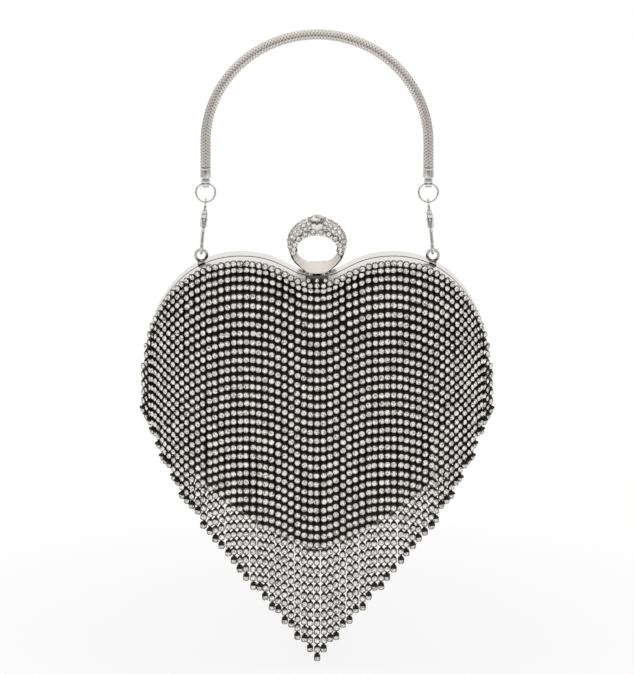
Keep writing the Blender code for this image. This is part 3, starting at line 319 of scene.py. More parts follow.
def triangles(quads, fans):
    """All faces as triangles, each quad being cut from its first corner."""
    return np.vstack([quads[:, [0, 1, 2]], quads[:, [0, 2, 3]], fans])


def skin(rings, loop=False):
    """Quads round each ring and from ring to ring; a loop's last ring meets its first, and other
    ends are closed by a fan to the mean of their ring. Gives points, quads, fan triangles and the
    quads' places (round, along), both from 0 to 1."""
    rows, columns = rings.shape[:2]
    whole = rows if loop else rows - 1
    i, j = (v.ravel() for v in np.meshgrid(np.arange(whole), np.arange(columns), indexing="ij"))
    corners = ((i, j), (i, j + 1), (i + 1, j + 1), (i + 1, j))
    quads = np.stack([(a % rows) * columns + b % columns for a, b in corners], -1)
    places = np.stack([np.stack([b / columns, a / whole], -1) for a, b in corners], -2)
    points, fans = rings.reshape(-1, 3), np.zeros((0, 3), int)
    if not loop:
        points = np.vstack([points, rings[0].mean(0), rings[-1].mean(0)])
        (at, after), end = round_trip(columns), (rows - 1) * columns
        ends = (after, at, 0 * at + rows * columns), (end + at, end + after, 0 * at + rows * columns + 1)
        fans = np.vstack([np.column_stack(corners) for corners in ends])
    # The room inside is a sixth of the sum of the corners' triple products, and less than nothing
    # where the faces point inwards
    a, b, c = points[triangles(quads, fans)].transpose(1, 0, 2)
    if np.sum(a * np.cross(b, c)) < 0:
        quads, fans, places = (v[:, ::-1] for v in (quads, fans, places))
    return points, quads, fans, places


def placed(name, data):
    """An object of this data in the scene."""
    made = bpy.data.objects.new(name, data)
    bpy.context.scene.collection.objects.link(made)
    return made


class Shape:
    """Points and faces of one piece, gathered from closed surfaces, with a finish and a tone each."""

    def __init__(self):
        self.points, self.faces, self.finishes, self.places, self.tones = [], [], [], [], []
        self.count = 0

    def add(self, points, *kinds):
        """Points and kinds of faces between them: the corners' numbers, a finish, and where wanted
        tones and pattern places."""
        for faces, finish, *rest in kinds:
            tones, places = (*rest, *(1.0, 0.0)[len(rest):])
            self.faces += (faces + self.count).tolist()
            self.finishes.append(np.broadcast_to(finish, len(faces)))
            self.tones.append(np.broadcast_to(tones, len(faces)))
            self.places.append(np.broadcast_to(places, (*faces.shape, 2)).reshape(-1, 2))
        self.points.append(points)
        self.count += len(points)
        return self

    def skin(self, rings, loop=False, finish=0):
        """A closed surface through rings of points; a finish may be one number, one a column, or one a
        ring and column. Closed ends take the lowest."""
        points, quads, fans, places = skin(rings, loop)
        columns = rings.shape[1]
        each = np.broadcast_to(finish, (len(quads) // columns, columns)).ravel()
        return self.add(points, (quads, each, 1.0, places), (fans, each.min()))

    def scatter(self, points, places, frames, *kinds):
        """Copies of a small shape, each turned by its frame and moved to its place."""
        moved = (places[:, None] + np.einsum("nij,pj->npi", frames, points)).reshape(-1, 3)
        first = np.arange(len(places))[:, None, None] * len(points)
        return self.add(moved, *(((first + faces).reshape(-1, faces.shape[1]), *rest)
                                 for faces, *rest in kinds))

    def piece(self, name, finishes, smooth=35.0):
        """The object: a mesh in metres with its finishes, pattern places and tones."""
        mesh = bpy.data.meshes.new(name)
        mesh.from_pydata(np.vstack(self.points) * MM, [], self.faces)
        for finish in finishes:
            mesh.materials.append(finish)
        mesh.polygons.foreach_set("material_index", np.concatenate(self.finishes).astype(np.int32))
        layer = mesh.uv_layers.new(name="UVMap")
        layer.data.foreach_set("uv", np.vstack(self.places).astype(np.float32).ravel())
        tone = mesh.attributes.new("tone", "FLOAT", "FACE")
        tone.data.foreach_set("value", np.concatenate(self.tones).astype(np.float32))
        if smooth:
            mesh.shade_smooth()
            mesh.set_sharp_from_angle(angle=math.radians(smooth))
        mesh.validate()
        return placed(name, mesh)


class Case:
    """The heart's outline and its two domes, worked out from the sizes.

    The outline is three cubic curves a side. A point's share is its distance from the dome's centre
    over the distance to the outline in the same direction, and the dome stands out by
    dome * (1 - share^4)."""

    shell_inset = 2.9

    def __init__(self, sizes):
        names = ("half_width", "height", "notch", "back_depth", "front_depth", "dome", "wall")
        self.width, self.height, self.notch, self.back, self.front, self.dome, self.wall = (
            getattr(sizes, name) / MM for name in names)
        self.centre = LOBE_TOP - 0.405 * self.height
        self.reaches = {}

    def half(self):
        """The right half from notch to bottom: (x, drop below the lobes' top)."""
        w, h = self.width, self.height
        side = -0.354 * h
        return np.vstack([
            bezier((0, -self.notch), (0.176 * w, -self.notch), (0.191 * w, 0), (0.447 * w, 0), 80),
            bezier((0.447 * w, 0), (0.848 * w, 0), (w, side + 0.116 * h), (w, side), 80),
            bezier((w, side), (w, side - 0.41 * h), (0.155 * w, -h), (0, -h), 80),
            [(0, -h)],
        ])

    def top_edge(self):
        """The right half from the notch to the widest point."""
        half = self.half()
        return half[: int(np.argmax(half[:, 0])) + 1]

    def rim(self, x):
        """Height of the top edge at x."""
        return LOBE_TOP + np.interp(np.abs(x), *self.top_edge().T)

    def outline(self, inset=0.0, count=480):
        """The closed heart as (x, z), moved inwards by the inset."""
        right = evenly(self.half(), count // 2 + 1)
        loop = np.vstack([right, right[-2:0:-1] * (-1, 1)])
        return loop + inset * unit(inward(loop)) + (0, LOBE_TOP)

    def share(self, x, z, inset):
        """Where (x, z) lies between the dome's centre, 0, and the outline with this inset, 1."""
        if inset not in self.reaches:
            away = self.outline(inset) - (0, self.centre)
            bearing = np.arctan2(away[:, 0], away[:, 1])
            order = np.argsort(bearing)
            self.reaches[inset] = bearing[order], np.linalg.norm(away, axis=1)[order]
        z = z - self.centre
        return np.hypot(x, z) / np.interp(np.arctan2(x, z), *self.reaches[inset], period=TURN)

    def stand(self, x, z, inset=shell_inset):
        """How far the dome stands out at (x, z)."""
        return self.dome * (1 - np.clip(self.share(x, z, inset), 0, 1) ** 4)

    def band(self, profile, side):
        """Rings of a closed profile of (inset, depth) carried round the outline."""
        loop = self.outline()
        flat = loop[:, None] + (self.outline(1) - loop)[:, None] * profile[None, :, :1]
        depth = np.broadcast_to(side * profile[:, 1], flat.shape[:2])
        return np.stack([flat[..., 0], depth, flat[..., 1]], -1)

    def rings(self, rows, side, ripple=None):
        """Rings of a dome's wall; rows are (inset, depth, share), the ring being the outline with
        that inset drawn in towards the centre to that share, and standing out by the dome there."""
        middle, made = np.array([0, self.centre]), []
        for inset, depth, part in rows:
            loop = middle + part * (self.outline(inset) - middle)
            out = depth + self.dome * (1 - part**4)
            if ripple:
                out = out + ripple(part, np.arange(len(loop)) / len(loop))
            made.append(upright(loop, side * out))
        return np.stack(made)


# Finishes

def combined(operation, swapped=False):
    """An operator between a node's output and a number or another output: it adds a Math node."""
    return lambda value, other: value.math(operation, other, swapped=swapped)


class Value:
    """A node's output. Sums, differences, products and powers with it add Math nodes."""

    def __init__(self, nodes, socket):
        self.nodes, self.socket = nodes, socket

    def math(self, operation, *others, swapped=False):
        values = (*others, self) if swapped else (self, *others)
        return self.nodes.add("ShaderNodeMath", {"operation": operation}, dict(enumerate(values)))

    __add__ = __radd__ = combined("ADD")
    __mul__ = __rmul__ = combined("MULTIPLY")
    __sub__, __rsub__ = combined("SUBTRACT"), combined("SUBTRACT", True)
    __pow__, __rpow__ = combined("POWER"), combined("POWER", True)

    def clipped(self):
        return self.math("MAXIMUM", 0.0).math("MINIMUM", 1.0)

    def ramp(self, start, slope):
        """0 up to the start, then up by the slope to 1; with a slope below 0, the other way round."""
        return ((self - start) * slope).clipped()

    def beside(self, output):
        """Another output of the same node."""
        return Value(self.nodes, self.socket.node.outputs[output])


class Nodes:
    """The nodes of one material or of the surroundings."""

    def __init__(self, owner):
        owner.use_nodes = True
        self.tree = owner.node_tree
        self.tree.nodes.clear()

    def add(self, kind, settings=None, sockets=None, output=0):
        """Adds a node: first its settings, then the values or links of its sockets."""
        made = self.tree.nodes.new(kind)
        for name, value in (settings or {}).items():
            setattr(made, name, value)
        for name, value in (sockets or {}).items():
            if isinstance(value, Value):
                self.tree.links.new(value.socket, made.inputs[name])
            else:
                made.inputs[name].default_value = value
        return Value(self, made.outputs[output]) if made.outputs else None

    def place(self, factors=(1, 1, 1)):
        """Object places, with each axis scaled."""
        place = self.add("ShaderNodeTexCoord", output="Object")
        if factors == (1, 1, 1):
            return place
        return self.add("ShaderNodeMapping", sockets={"Vector": place, "Scale": factors})

    def noise(self, scale, detail, factors=(1, 1, 1)):
        sockets = {"Vector": self.place(factors), "Scale": scale, "Detail": detail}
        return self.add("ShaderNodeTexNoise", sockets=sockets)

    def tinted(self, mask, shade, *factors):
        """The shade times one factor where the mask is 0, and times the other where it is 1."""
        one, two = ((*times(shade, factor), 1) for factor in factors)
        return self.add("ShaderNodeMix", {"data_type": "RGBA"}, {0: mask, 6: one, 7: two}, 2)

    def bump(self, height, distance, strength):
        sockets = {"Height": height, "Distance": distance * MM, "Strength": strength}
        return self.add("ShaderNodeBump", sockets=sockets)

    def blended(self, factor, one, two, end="ShaderNodeOutputMaterial"):
        """Ends in two shaders, each a node's kind, colour and strength if it has one."""
        first, second = (
            self.add(kind, sockets={"Color": (*shade, 1), **({"Strength": power[0]} if power else {})})
            for kind, shade, *power in (one, two))
        both = self.add("ShaderNodeMixShader", sockets={0: factor, 1: first, 2: second})
        self.add(end, sockets={"Surface": both})

    def seen(self):
        """1 for what the camera, a mirror or glass shows; and whether it is a mirror."""
        ray = self.add("ShaderNodeLightPath", output="Is Camera Ray")
        mirror = ray.beside("Is Glossy Ray")
        return (ray + mirror + ray.beside("Is Transmission Ray")).clipped(), mirror


def times(shade, factor):
    """A colour with its three numbers multiplied."""
    return tuple(c * factor for c in shade)


def metal(nodes, shade, grain, tints, rough, relief=(), metallic=1.0):
    """Metal with marks: noise of this scale, detail and stretch takes the colour from one factor of the
    shade to the other, and adds to the roughness. A relief has a depth and a strength, and may have
    its own noise."""
    mark, (least, more) = nodes.noise(*grain), rough
    sockets = {
        "Base Color": nodes.tinted(mark, shade, *tints),
        "Metallic": metallic,
        "Roughness": least + more * mark,
    }
    if relief:
        depth, strength, *own = relief
        sockets["Normal"] = nodes.bump(nodes.noise(*own) if own else mark, depth, strength)
    return sockets


def mesh_chain(nodes, shade, meshes):
    """Mesh chain: bright wire between dark holes that lie where two families of helices cross, each
    family being a cosine of the way along plus or minus the way round. The holes' darkness is painted
    shade in the hollows."""
    turn = nodes.add("ShaderNodeSeparateXYZ", sockets={0: nodes.add("ShaderNodeTexCoord", output="UV")})
    run = turn.beside("Y") * meshes
    waves = sum(((run + turn * hand) * TURN).math("COSINE") for hand in (HELICES, -HELICES))
    hole = (waves * 0.5).clipped() ** 1.5
    return {
        # Painted shade: the holes are darkened to a fifth of the shade
        "Base Color": nodes.tinted(hole, shade, 1, 0.2),
        "Metallic": 1.0,
        "Roughness": 0.38 + 0.14 * nodes.noise(300, 2) + 0.1 * hole,
        "Normal": nodes.bump(nodes.noise(2600, 2), 0.01, 0.4),
    }


def satin(nodes, shade, light):
    """Satin: fine threads across each other, long floats that catch the light, faint creases."""
    thread = nodes.noise(6400, 2, (1, 1, 0.06)) * 0.7 + nodes.noise(4200, 1, (0.08, 1, 1)) * 0.3
    return {
        "Base Color": nodes.tinted(thread, shade, 0.6, 1.5),
        "Roughness": 0.42 + 0.2 * thread,
        "Specular IOR Level": light,
        "Normal": nodes.bump(thread * 0.05 + nodes.noise(26, 2), 0.4, 0.5),
    }


def stone_face(nodes, shade):
    """Foil-backed stones: each facet has its own tone, from dark to bright, which is painted reflection
    standing for what the facet mirrors.
    """
    tone = nodes.add("ShaderNodeAttribute", {"attribute_name": "tone"}, output="Fac")
    return {
        # Painted reflection: the facets' tones darken or keep the stone's colour
        "Base Color": nodes.tinted(tone, shade, 0.12, 1),
        "Metallic": 0.2,
        "Roughness": 0.1 + 0.14 * nodes.noise(900, 1),
    }


def painted_shade_metal(nodes, shade):
    """Near-black metal with a little wear: painted shade and painted dark reflection, for the dark prisms
    over the strands' cups, the seam where the rims meet, the lever's lip, the ring's lower front edge and
    the plate behind the lever's stones.
    """
    wear = nodes.noise(700, 3)
    return {
        "Base Color": nodes.tinted(wear ** 2.0, shade, 1, 3),
        "Metallic": 0.6,
        "Roughness": 0.3 + 0.2 * wear,
        "Specular IOR Level": 0.3,
    }


def handle_path():
    """The chain's centreline as (x, z): half a circle between two short upright ends."""
    half = arc(np.linspace(math.pi, 0, 400), HANDLE_X, 0, ARC_HEIGHT)
    return np.vstack([(-HANDLE_X, SLEEVE_END), half, (HANDLE_X, SLEEVE_END)])


def chain_meshes(settings):
    """How many meshes the chain has: its length over that of one, rounded."""
    return round(along(handle_path())[-1] * MM / settings.handle.band)


def finish(name, fill, *given, **named):
    """A material with one shader, whose sockets the fill function gives."""
    made = bpy.data.materials.get(name)
    if not made:
        made = bpy.data.materials.new(name)
        nodes = Nodes(made)
        shader = nodes.add("ShaderNodeBsdfPrincipled", sockets=fill(nodes, *given, **named))
        nodes.add("ShaderNodeOutputMaterial", sockets={"Surface": shader})
    return made


def finishes(settings):
    """All finishes by name."""
    shades = settings.colours
    # Plating has faint clouds of handling and hairline scratches, and steel has turning marks. Plating
    # that was only tumbled has a fine grain, and the pressed cups are a little worn
    clouds, hairlines = ((160, 3), (0.93, 1)), (0.004, 0.35, 5200, 1, (1, 1, 0.04))
    grain, marks = ((1800, 2), (1, 1.2)), ((3800, 2, (0.05, 1, 1)), (0.75, 1))
    pressed = (420, 3), (0.55, 1), (0.18, 0.2)
    return {
        "silver": finish("silver_plating", metal, shades.silver, *clouds, (0.07, 0.1), hairlines),
        "matt": finish("matt_plating", metal, shades.chain, *grain, (0.38, 0.15), (0.01, 0.4), metallic=0.6),
        "rim": finish("rim_plating", metal, shades.silver, *clouds, (0.2, 0.1), hairlines),
        "setting": finish("small_stone_settings", metal, times(shades.chain, 0.6), *pressed),
        "chain": finish("snake_chain_mesh", mesh_chain, shades.chain, chain_meshes(settings)),
        "steel": finish("turned_steel", metal, shades.steel, *marks, (0.24, 0.2), (0.01, 0.4)),
        "satin": finish("black_satin_cover", satin, shades.satin, 0.1),
        "lining": finish("lining_satin_cloth", satin, shades.lining, 0.4),
        "stone": finish("stone_facets", stone_face, shades.stone),
        "cup": finish("stone_cups", metal, shades.cup, *pressed),
        # The dark finish is painted shade and painted dark reflection
        "link": finish("painted_shade_dark_metal", painted_shade_metal, shades.link),
    }


# Stones

def cut_stone(radius, girdle, crown, table=0.58, corners=8):
    """A round cut stone: a table of triangles round its middle, a crown of triangles between the
    table's corners and the girdle's, turned half a corner, and a flat underside."""
    a, (at, after) = bearings(corners), round_trip(corners)
    high = level(arc(a, radius * table), crown)
    low = level(arc(a + math.pi / corners, radius), girdle)
    middle = 0 * at + 2 * corners
    three = (at, corners + at, after), (after, corners + at, corners + after), (at, after, middle)
    three = np.vstack([np.column_stack(corner) for corner in three])
    return np.vstack([high, low, (0, 0, crown + 0.05 * radius)]), three, (corners + at)[::-1][None]


def prism(outline, low, high, top=1.0):
    """A plane outline of (x, y) raised from low to high: its points, side quads and two ends."""
    count = len(outline)
    at, after = round_trip(count)
    quads = np.column_stack([at, after, count + after, count + at])
    points = np.vstack([level(outline, low), level(outline * top, high)])
    return points, quads, np.stack([at[::-1], count + at])


def set_stones(shape, places, frames, draw, stone, cup, tall, dim=False, dark=()):
    """Stones in square cups with cut corners, and dark prisms: each an outline, its ends' heights as
    shares of the stone's, its top's share, and which stones have it. A stone's facets are bright, but
    for about a quarter of them: painted reflections that stand for what each facet mirrors. Dim stones
    are darker all over, which is painted shade."""
    count, girdle, faint_share, dimmed = len(places), 0.66 * tall, 0.24, 0.8
    points, three, under = cut_stone(stone / 2, girdle, tall)
    # Painted shade: dim stones come down to four fifths of their tone
    glow = draw.uniform(0.84, 1.0, count) * np.where(dim, dimmed, 1.0)
    bright = draw.uniform(0.84, 1.0, (count, len(three)))
    faint = draw.uniform(0.02, 0.4, bright.shape)
    # Painted reflection: about a quarter of the facets faint, the rest bright
    tones = np.where(draw.random(bright.shape) < faint_share, faint, bright) * glow[:, None]
    shape.scatter(points, places, frames, (three, 0, tones.ravel()), (under, 0))
    side = cup / 2 * np.array([(-1, -0.56), (-0.56, -1), (0.56, -1), (1, -0.56)])
    parts = [(1, np.vstack([side, -side]), 0.1, 0.62, 1.0, np.full(count, True))]
    for number, outline, low, high, top, chosen in (*parts, *((2, *part) for part in dark)):
        points, quads, ends = prism(outline, low * tall, high * tall, top)
        shape.scatter(points, places[chosen], frames[chosen], (quads, number), (ends, number))


def frames_from(normals, ups):
    """For each stone, a matrix whose columns are across, up the strand and outwards."""
    outward = unit(np.asarray(normals, float))
    across = unit(np.cross(ups, outward))
    return np.stack([across, np.cross(outward, across), outward], -1)


def wobble(frames, draw, angle):
    """Each frame turned a little about its own axes."""
    a, b, c = draw.normal(0, angle, (3, len(frames)))
    one = np.ones(len(frames))
    return frames @ np.moveaxis(np.array([(one, -c, b), (c, one, -a), (-b, a, one)]), -1, 0)


# Pieces

class ClutchOperator(bpy.types.Operator):
    """What all operators share: the finishes, and how a piece takes its seat"""
    bl_options = {"REGISTER"}

    def execute(self, context):
        settings = context.scene.heart_clutch
        self.looks = finishes(settings)
        self.build(settings)
        return {"FINISHED"}

    def seat(self, shape, name, looks, body, nodes="", slot="silver", smooth=35.0):
        """Makes a piece with the named finishes, and says what it rides on and which CAD nodes it stands
        for. The slot argument is not used."""
        made = shape.piece(name, [self.looks[look] for look in looks.split()], smooth)
        if body:
            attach(made, body)
        if nodes:
            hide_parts(*nodes.split())
        return made


def snake_tube(radius, meshes):
    """The chain: its radius is less in the holes, which lie where cosines of the way along plus and
    minus the way round are both high."""
    rows, columns = 6 * meshes + 1, 48
    run, turn = np.linspace(0, meshes, rows)[:, None], np.arange(columns) / columns
    waves = sum(np.cos(TURN * (run + hand * turn)) for hand in (HELICES, -HELICES)) / 2
    reach = radius - 0.22 * np.clip(waves, 0, 1) - 0.05 * np.clip(-waves, 0, 1)
    return Shape().skin(tube(upright(evenly(handle_path(), rows), HANG_DEPTH), reach, (0, 1, 0), columns))


def cap(x, radius):
    """A turned cap with a bead and a neck, and the loop that the jump ring passes: a flat ring that
    is half as wide at its bottom."""
    low, core, flat = -5.8, 0.3, 1.2
    profile = rounded(np.array([
        (core, 0.0), (radius + 0.08, 0.0), (radius + 0.12, -0.5), (radius, -0.75),
        (radius + 0.05, low + 0.9), (radius - 0.75, low), (core, low),
    ]), 0.2)
    shape = Shape().skin(turned(profile, (x, HANG_DEPTH, CAP_TOP)))
    a = bearings(40)[:, None]
    reach, wide = rounded(rectangle(flat, -2.0, flat + 1.0, 2.0), 0.35).T
    narrow = 1 - 0.5 * np.clip(-np.sin(a), 0, 1) ** 2
    rings = (x + narrow * wide, HANG_DEPTH + np.cos(a) * reach, LOOP_HEIGHT + np.sin(a) * reach)
    shape.skin(np.stack(rings, -1), loop=True)
    block = rounded(rectangle(-flat, -1.5, flat, 1.5), 0.5)[:, ::-1] + (x, HANG_DEPTH)
    return shape.skin(np.stack([level(block, z) for z in (LOOP_HEIGHT + 1.5, CAP_TOP + low + 0.3)]))


class CLUTCH_OT_handle(ClutchOperator):
    """Builds the snake chain and its end caps"""
    bl_idname = "clutch.handle"
    bl_label = "Handle"

    def build(self, settings):
        radius = settings.handle.chain / MM / 2
        chain = snake_tube(radius, chain_meshes(settings))
        self.seat(chain, "snake_tube", "chain", "handle", "handle_chain", "snake_chain", 60)
        for side, sign in SIDES:
            self.seat(cap(sign * HANDLE_X, radius), f"cap_{side}", "silver", "handle", f"end_cap_{side}")


# Within a clasp, from its eye's middle: the trigger's pivot and end, and the round of the hook
PIVOT = np.array([0, 0.6, -8.9])
TRIGGER_END = np.array([0, -1.85, -20.9])
HOOK_RADIUS, HOOK_HEIGHT = 3.6, -21.7


def jump_ring(sizes, sign):
    """A ring of wire cut at one place, with a hairline between its ends: a tube round a circle."""
    radius, gap, cut = (sizes.ring - sizes.wire) / MM / 2, 0.02, 205 if sign < 0 else -25
    a = np.linspace(gap, TURN - gap, 90) + math.radians(cut)
    line = upright(arc(a, radius, sign * HANDLE_X, LOOP_HEIGHT - radius), HANG_DEPTH)
    return Shape().skin(tube(line, sizes.wire / MM / 2, (0, 1, 0)))


def hung(points, sign):
    """A clasp's points turned about the fore-and-aft axis, at the jump ring's bottom."""
    c, s = math.cos(CLASP_LEAN), -sign * math.sin(CLASP_LEAN)
    return points @ np.array([(c, 0, -s), (0, 1, 0), (s, 0, c)]) + (sign * HANDLE_X, HANG_DEPTH, RING_BOTTOM)


def eye():
    """A ring of wire, a circle turned about the vertical and laid over, with a post and collar."""
    shape = Shape().skin(turned(arc(bearings(14), 0.5, 1.55), (0, 0, 0))[..., [2, 0, 1]], loop=True)
    shape.skin(rod([(0, 0, -1.4), (0, 0, -3.0), (0, 0, -6.3)], 0.6, (1, 0, 0), 14))
    return shape.skin(turned(rounded(rectangle(0.3, -3.7, 1.1, -4.7), 0.3), (0, 0, 0), 24))


def hook():
    """A stem that swells and thins, bent round at its end, with a channel for the trigger."""
    across, low, steps, turn = HOOK_RADIUS, HOOK_HEIGHT, 36, np.linspace(0, -math.pi, 30)
    stem = bezier((0, -5.0), (0, -9.0), (across, -12.0), (across, low), steps)
    path = np.vstack([stem, arc(turn, across, 0, low), (-across, low + 0.8), (-across, low + 1.6)])
    swell = np.interp(np.linspace(0, 1, steps), (0, 0.06, 0.6, 0.66, 1), (1.1, 1.45, 1.65, 0.85, 0.8))
    radii = np.concatenate([swell, np.full(len(turn), 0.75), (0.7, 0.7)])
    rings = rod(np.column_stack([np.zeros(len(path)), path]), radii, (1, 0, 0), 32)
    x, y, z = np.moveaxis(rings, -1, 0)
    floor, overrun = 1.75, 9.0
    trough = (np.abs(x) < 0.86) & (y < floor) & (z < -7.7) & (z > -14.9)
    rings[..., 1] = np.where(trough, np.minimum(floor, y + overrun), y)
    return Shape().skin(rings)


def trigger():
    """The arm, its boss on the rivet and its thumb nub."""
    arm = Shape().skin(rod(np.linspace(PIVOT, TRIGGER_END, 12), 0.55, (1, 0, 0)))
    arm.skin(pin(0.4, *PIVOT[1:], 0.85, 20))
    root = PIVOT + 0.34 * (TRIGGER_END - PIVOT)
    nub = np.linspace(root, root - 2.1 * np.array([0, 1, 0.33]), 6)
    return arm.skin(rod(nub, np.linspace(0.44, 0.55, 6), (1, 0, 0), 14))


class CLUTCH_OT_hardware(ClutchOperator):
    """Builds the jump rings, the lobster clasps and their triggers"""
    bl_idname = "clutch.hardware"
    bl_label = "Rings and clasps"

    def build(self, settings):
        for side, sign in SIDES:
            body = f"jump_ring_{side}"
            self.seat(jump_ring(settings.handle, sign), f"ring_wire_{side}", "silver", body, body)
            rivet = Shape().skin(pin(1.5, *PIVOT[1:], 0.4, 16))
            for shape, name, look, body, node, slot in (
                    (eye(), "eye", "silver", "clasp", "clasp_eye", "silver"),
                    (hook(), "hook", "rim", "clasp", "clasp_body", "silver"),
                    (rivet, "rivet", "steel", "clasp", "clasp_rivet", "steel"),
                    (trigger(), "trigger_arm", "rim", "trigger", "clasp_trigger", "silver")):
                shape.points = [hung(points, sign) for points in shape.points]
                self.seat(shape, f"{name}_{side}", look, f"{body}_{side}", f"{node}_{side}", slot)


def rim(case, depth, side, seam):
    """A band with a rounded outer edge, and a flange that the dome comes out of. Its edge where the two
    rims meet has painted shade: a dark finish that stands for the shadow in the seam."""
    wall, flange, start, steps = case.wall, 2.6, 0.15, 5
    profile = rounded(np.array([
        (0, start), (0, depth), (flange, depth), (flange, depth - wall), (wall, depth - wall), (wall, start),
    ]), np.array([seam, 1.5, 0.4, 0.2, 0.3, 0.2]), steps)
    # Painted shade: the rounding at the seam takes the dark finish
    dark = np.arange(len(profile)) < steps
    return Shape().skin(case.band(profile, side), loop=True, finish=dark * 1)


def ear(x, case):
    """A flat ring whose outline runs down into a foot: at a bearing the outer reach is the ring's
    radius, or the neck's side or foot where those lie further out."""
    inner, outer, neck, half = 2.0, 3.4, 1.7, 0.7
    cos, sin = arc(bearings(96), 1).T
    foot, least = EAR_HEIGHT - case.rim(x) + 0.15, 1e-3
    neck_reach = np.minimum(neck / np.maximum(np.abs(cos), least), foot / np.maximum(-sin, least))
    reach = np.where(sin < -0.5, np.maximum(outer, neck_reach), outer)
    tilt = np.where(reach > outer, (case.rim(x + 1) - case.rim(x)) * reach * cos, 0)
    # The section's corners are rounded while it is ten times as wide as its share of the reach
    edges = rounded(rectangle(0, -half, 1, half) * (10, 1), 0.3, 4) / (10, 1)
    radius = inner + edges[:, 0] * (reach - inner)[:, None]
    flat, up = radius * cos[:, None], radius * sin[:, None] + edges[:, 0] * tilt[:, None]
    depth = np.broadcast_to(HANG_DEPTH + edges[:, 1], radius.shape)
    return Shape().skin(np.stack([x + flat, depth, EAR_HEIGHT + up], -1), loop=True)


class CLUTCH_OT_rims(ClutchOperator):
    """Builds the two metal rims and the loops that the clasps hold"""
    bl_idname = "clutch.rims"
    bl_label = "Rims and loops"

    def build(self, settings):
        case = Case(settings.case)
        for name, *row in (("back", case.back, 1, 0.75), ("front", case.front, -1, 0.4)):
            self.seat(rim(case, *row), f"rim_{name}", "rim link", f"{name}_case", f"{name}_frame", smooth=50)
        for side, sign in SIDES:
            self.seat(ear(sign * EAR_X, case), f"loop_{side}", "silver", "back_case", f"ear_{side}")


def shell(case, depth, side):
    """Satin over board: a foot behind the rim's flange, a wall, and the dome."""
    wall, inset, foot = 1.5, case.shell_inset, case.wall + 0.3
    collar = depth - case.wall - 0.3
    shares = np.linspace(1, 0.012, 44) ** 0.8
    outer = [(foot, collar - 0.1, 1), (foot, collar, 1), (inset, collar, 1),
             *((inset, depth, s) for s in shares)]
    inner = [*((inset + wall, depth - 1.9, s) for s in shares[::-1]),
             (inset + wall, collar - wall, 1), (foot, collar - wall, 1)]
    return Shape().skin(case.rings([*outer[::-1], *inner[::-1]], side))


def lining(case, depth, side):
    """Cloth over card: a lip, a wall and the dome, with small gathers near the lip: 0.18 mm waves,
    130 round the rim, that die out towards the middle."""
    inset, lip, cloth, foot = 4.7, 1.1, 0.8, case.wall + 0.3
    base = depth - 2.87
    shares = np.linspace(0.995, 0.012, 40) ** 0.8

    def gathers(part, at):
        return 0.18 * np.sin(TURN * 130 * at) * max(0.0, part - 0.75) * 4 * (part < 0.999)

    outer = [(foot, lip + cloth, 1), (inset - cloth, lip + cloth, 1), (inset - cloth, base, 1),
             *((inset - cloth, base + 0.3, s) for s in shares)]
    inner = [*((inset, base - 0.5, s) for s in shares[::-1]), (inset, base - 0.6, 1), (inset, lip, 1),
             (foot, lip, 1)]
    return Shape().skin(case.rings([*outer[::-1], *inner[::-1]], side, gathers))


def pocket(case):
    """The pouch: full in the middle, (1 - u^4)(1 - v^2), with a gathered and hemmed top."""
    half, height, top, hem, fullness = 40.0, 46.0, LOBE_TOP - 56.0, 3.0, 3.0
    u, v = np.linspace(-1, 1, 120), np.linspace(0, 1, 40)[:, None]
    x = u * half * (1 - 0.25 * v**2)
    z = top - v * height + 0 * x
    seat = case.back - 4.2 + case.stand(x, z, 4.7)
    gather = 0.35 * np.sin(u * 70) * (1 - v) ** 3 * (1 - u**8)
    front = seat - fullness * (1 - u**4) * (1 - v**2) - 0.35 + gather
    back = front + np.where(v * height < hem, 0.75, 0.5)
    rings = [np.concatenate([one, two[:, ::-1]], 1) for one, two in ((x, x), (front, back), (z, z))]
    return Shape().skin(np.stack(rings, -1))


class CLUTCH_OT_domes(ClutchOperator):
    """Builds the satin-covered domes, their linings and the slip pocket"""
    bl_idname = "clutch.domes"
    bl_label = "Domes and linings"

    def build(self, settings):
        case = Case(settings.case)
        for name, *row in (("back", case.back, 1), ("front", case.front, -1)):
            for shape, piece, look, node, slot in (
                    (shell(case, *row), "dome", "satin", "shell", "black_satin"),
                    (lining(case, *row), "lining", "lining", "lining", "lining_satin")):
                self.seat(shape, f"{piece}_{name}", look, f"{name}_case", f"{name}_{node}", slot, 60)
        self.seat(pocket(case), "pocket_cloth", "lining", "back_case", "slip_pocket", "lining_satin", 50)


# How far forward the lever reaches, and its lip's lower edge
LEVER_FRONT, LIP_LOW = -12.7, -118.85


def lever():
    """A strap bent down into a lip in front and rolled round the pin behind. In front of the finger
    ring it has painted shade and painted reflection: a dark finish that stands for the dark strands it
    mirrors and the shade under the ring."""
    y, z, front, top, low = PIN_DEPTH, PIN_HEIGHT, LEVER_FRONT, LEVER_TOP, LIP_LOW
    profile = rounded(np.vstack([
        [(front, low), (front, top), (-6.6, top), (y - 2.2, top), (y - 1.0, z + 1.0)],
        arc(np.linspace(0.5 * math.pi, -0.75 * math.pi, 24), 1.3, y, z),
        [(y - 3.0, top - 1.0), (front + 1.0, top - 1.0), (front + 1.0, low)],
    ]), 0.45)
    ring_front = -7.2
    # Painted shade and painted reflection: the lip in front of the finger ring takes the dark finish
    dark = (profile[:, 0] + np.roll(profile[:, 0], -1)) / 2 < ring_front
    return Shape().skin(strip(profile, 4.8), finish=dark * 1)


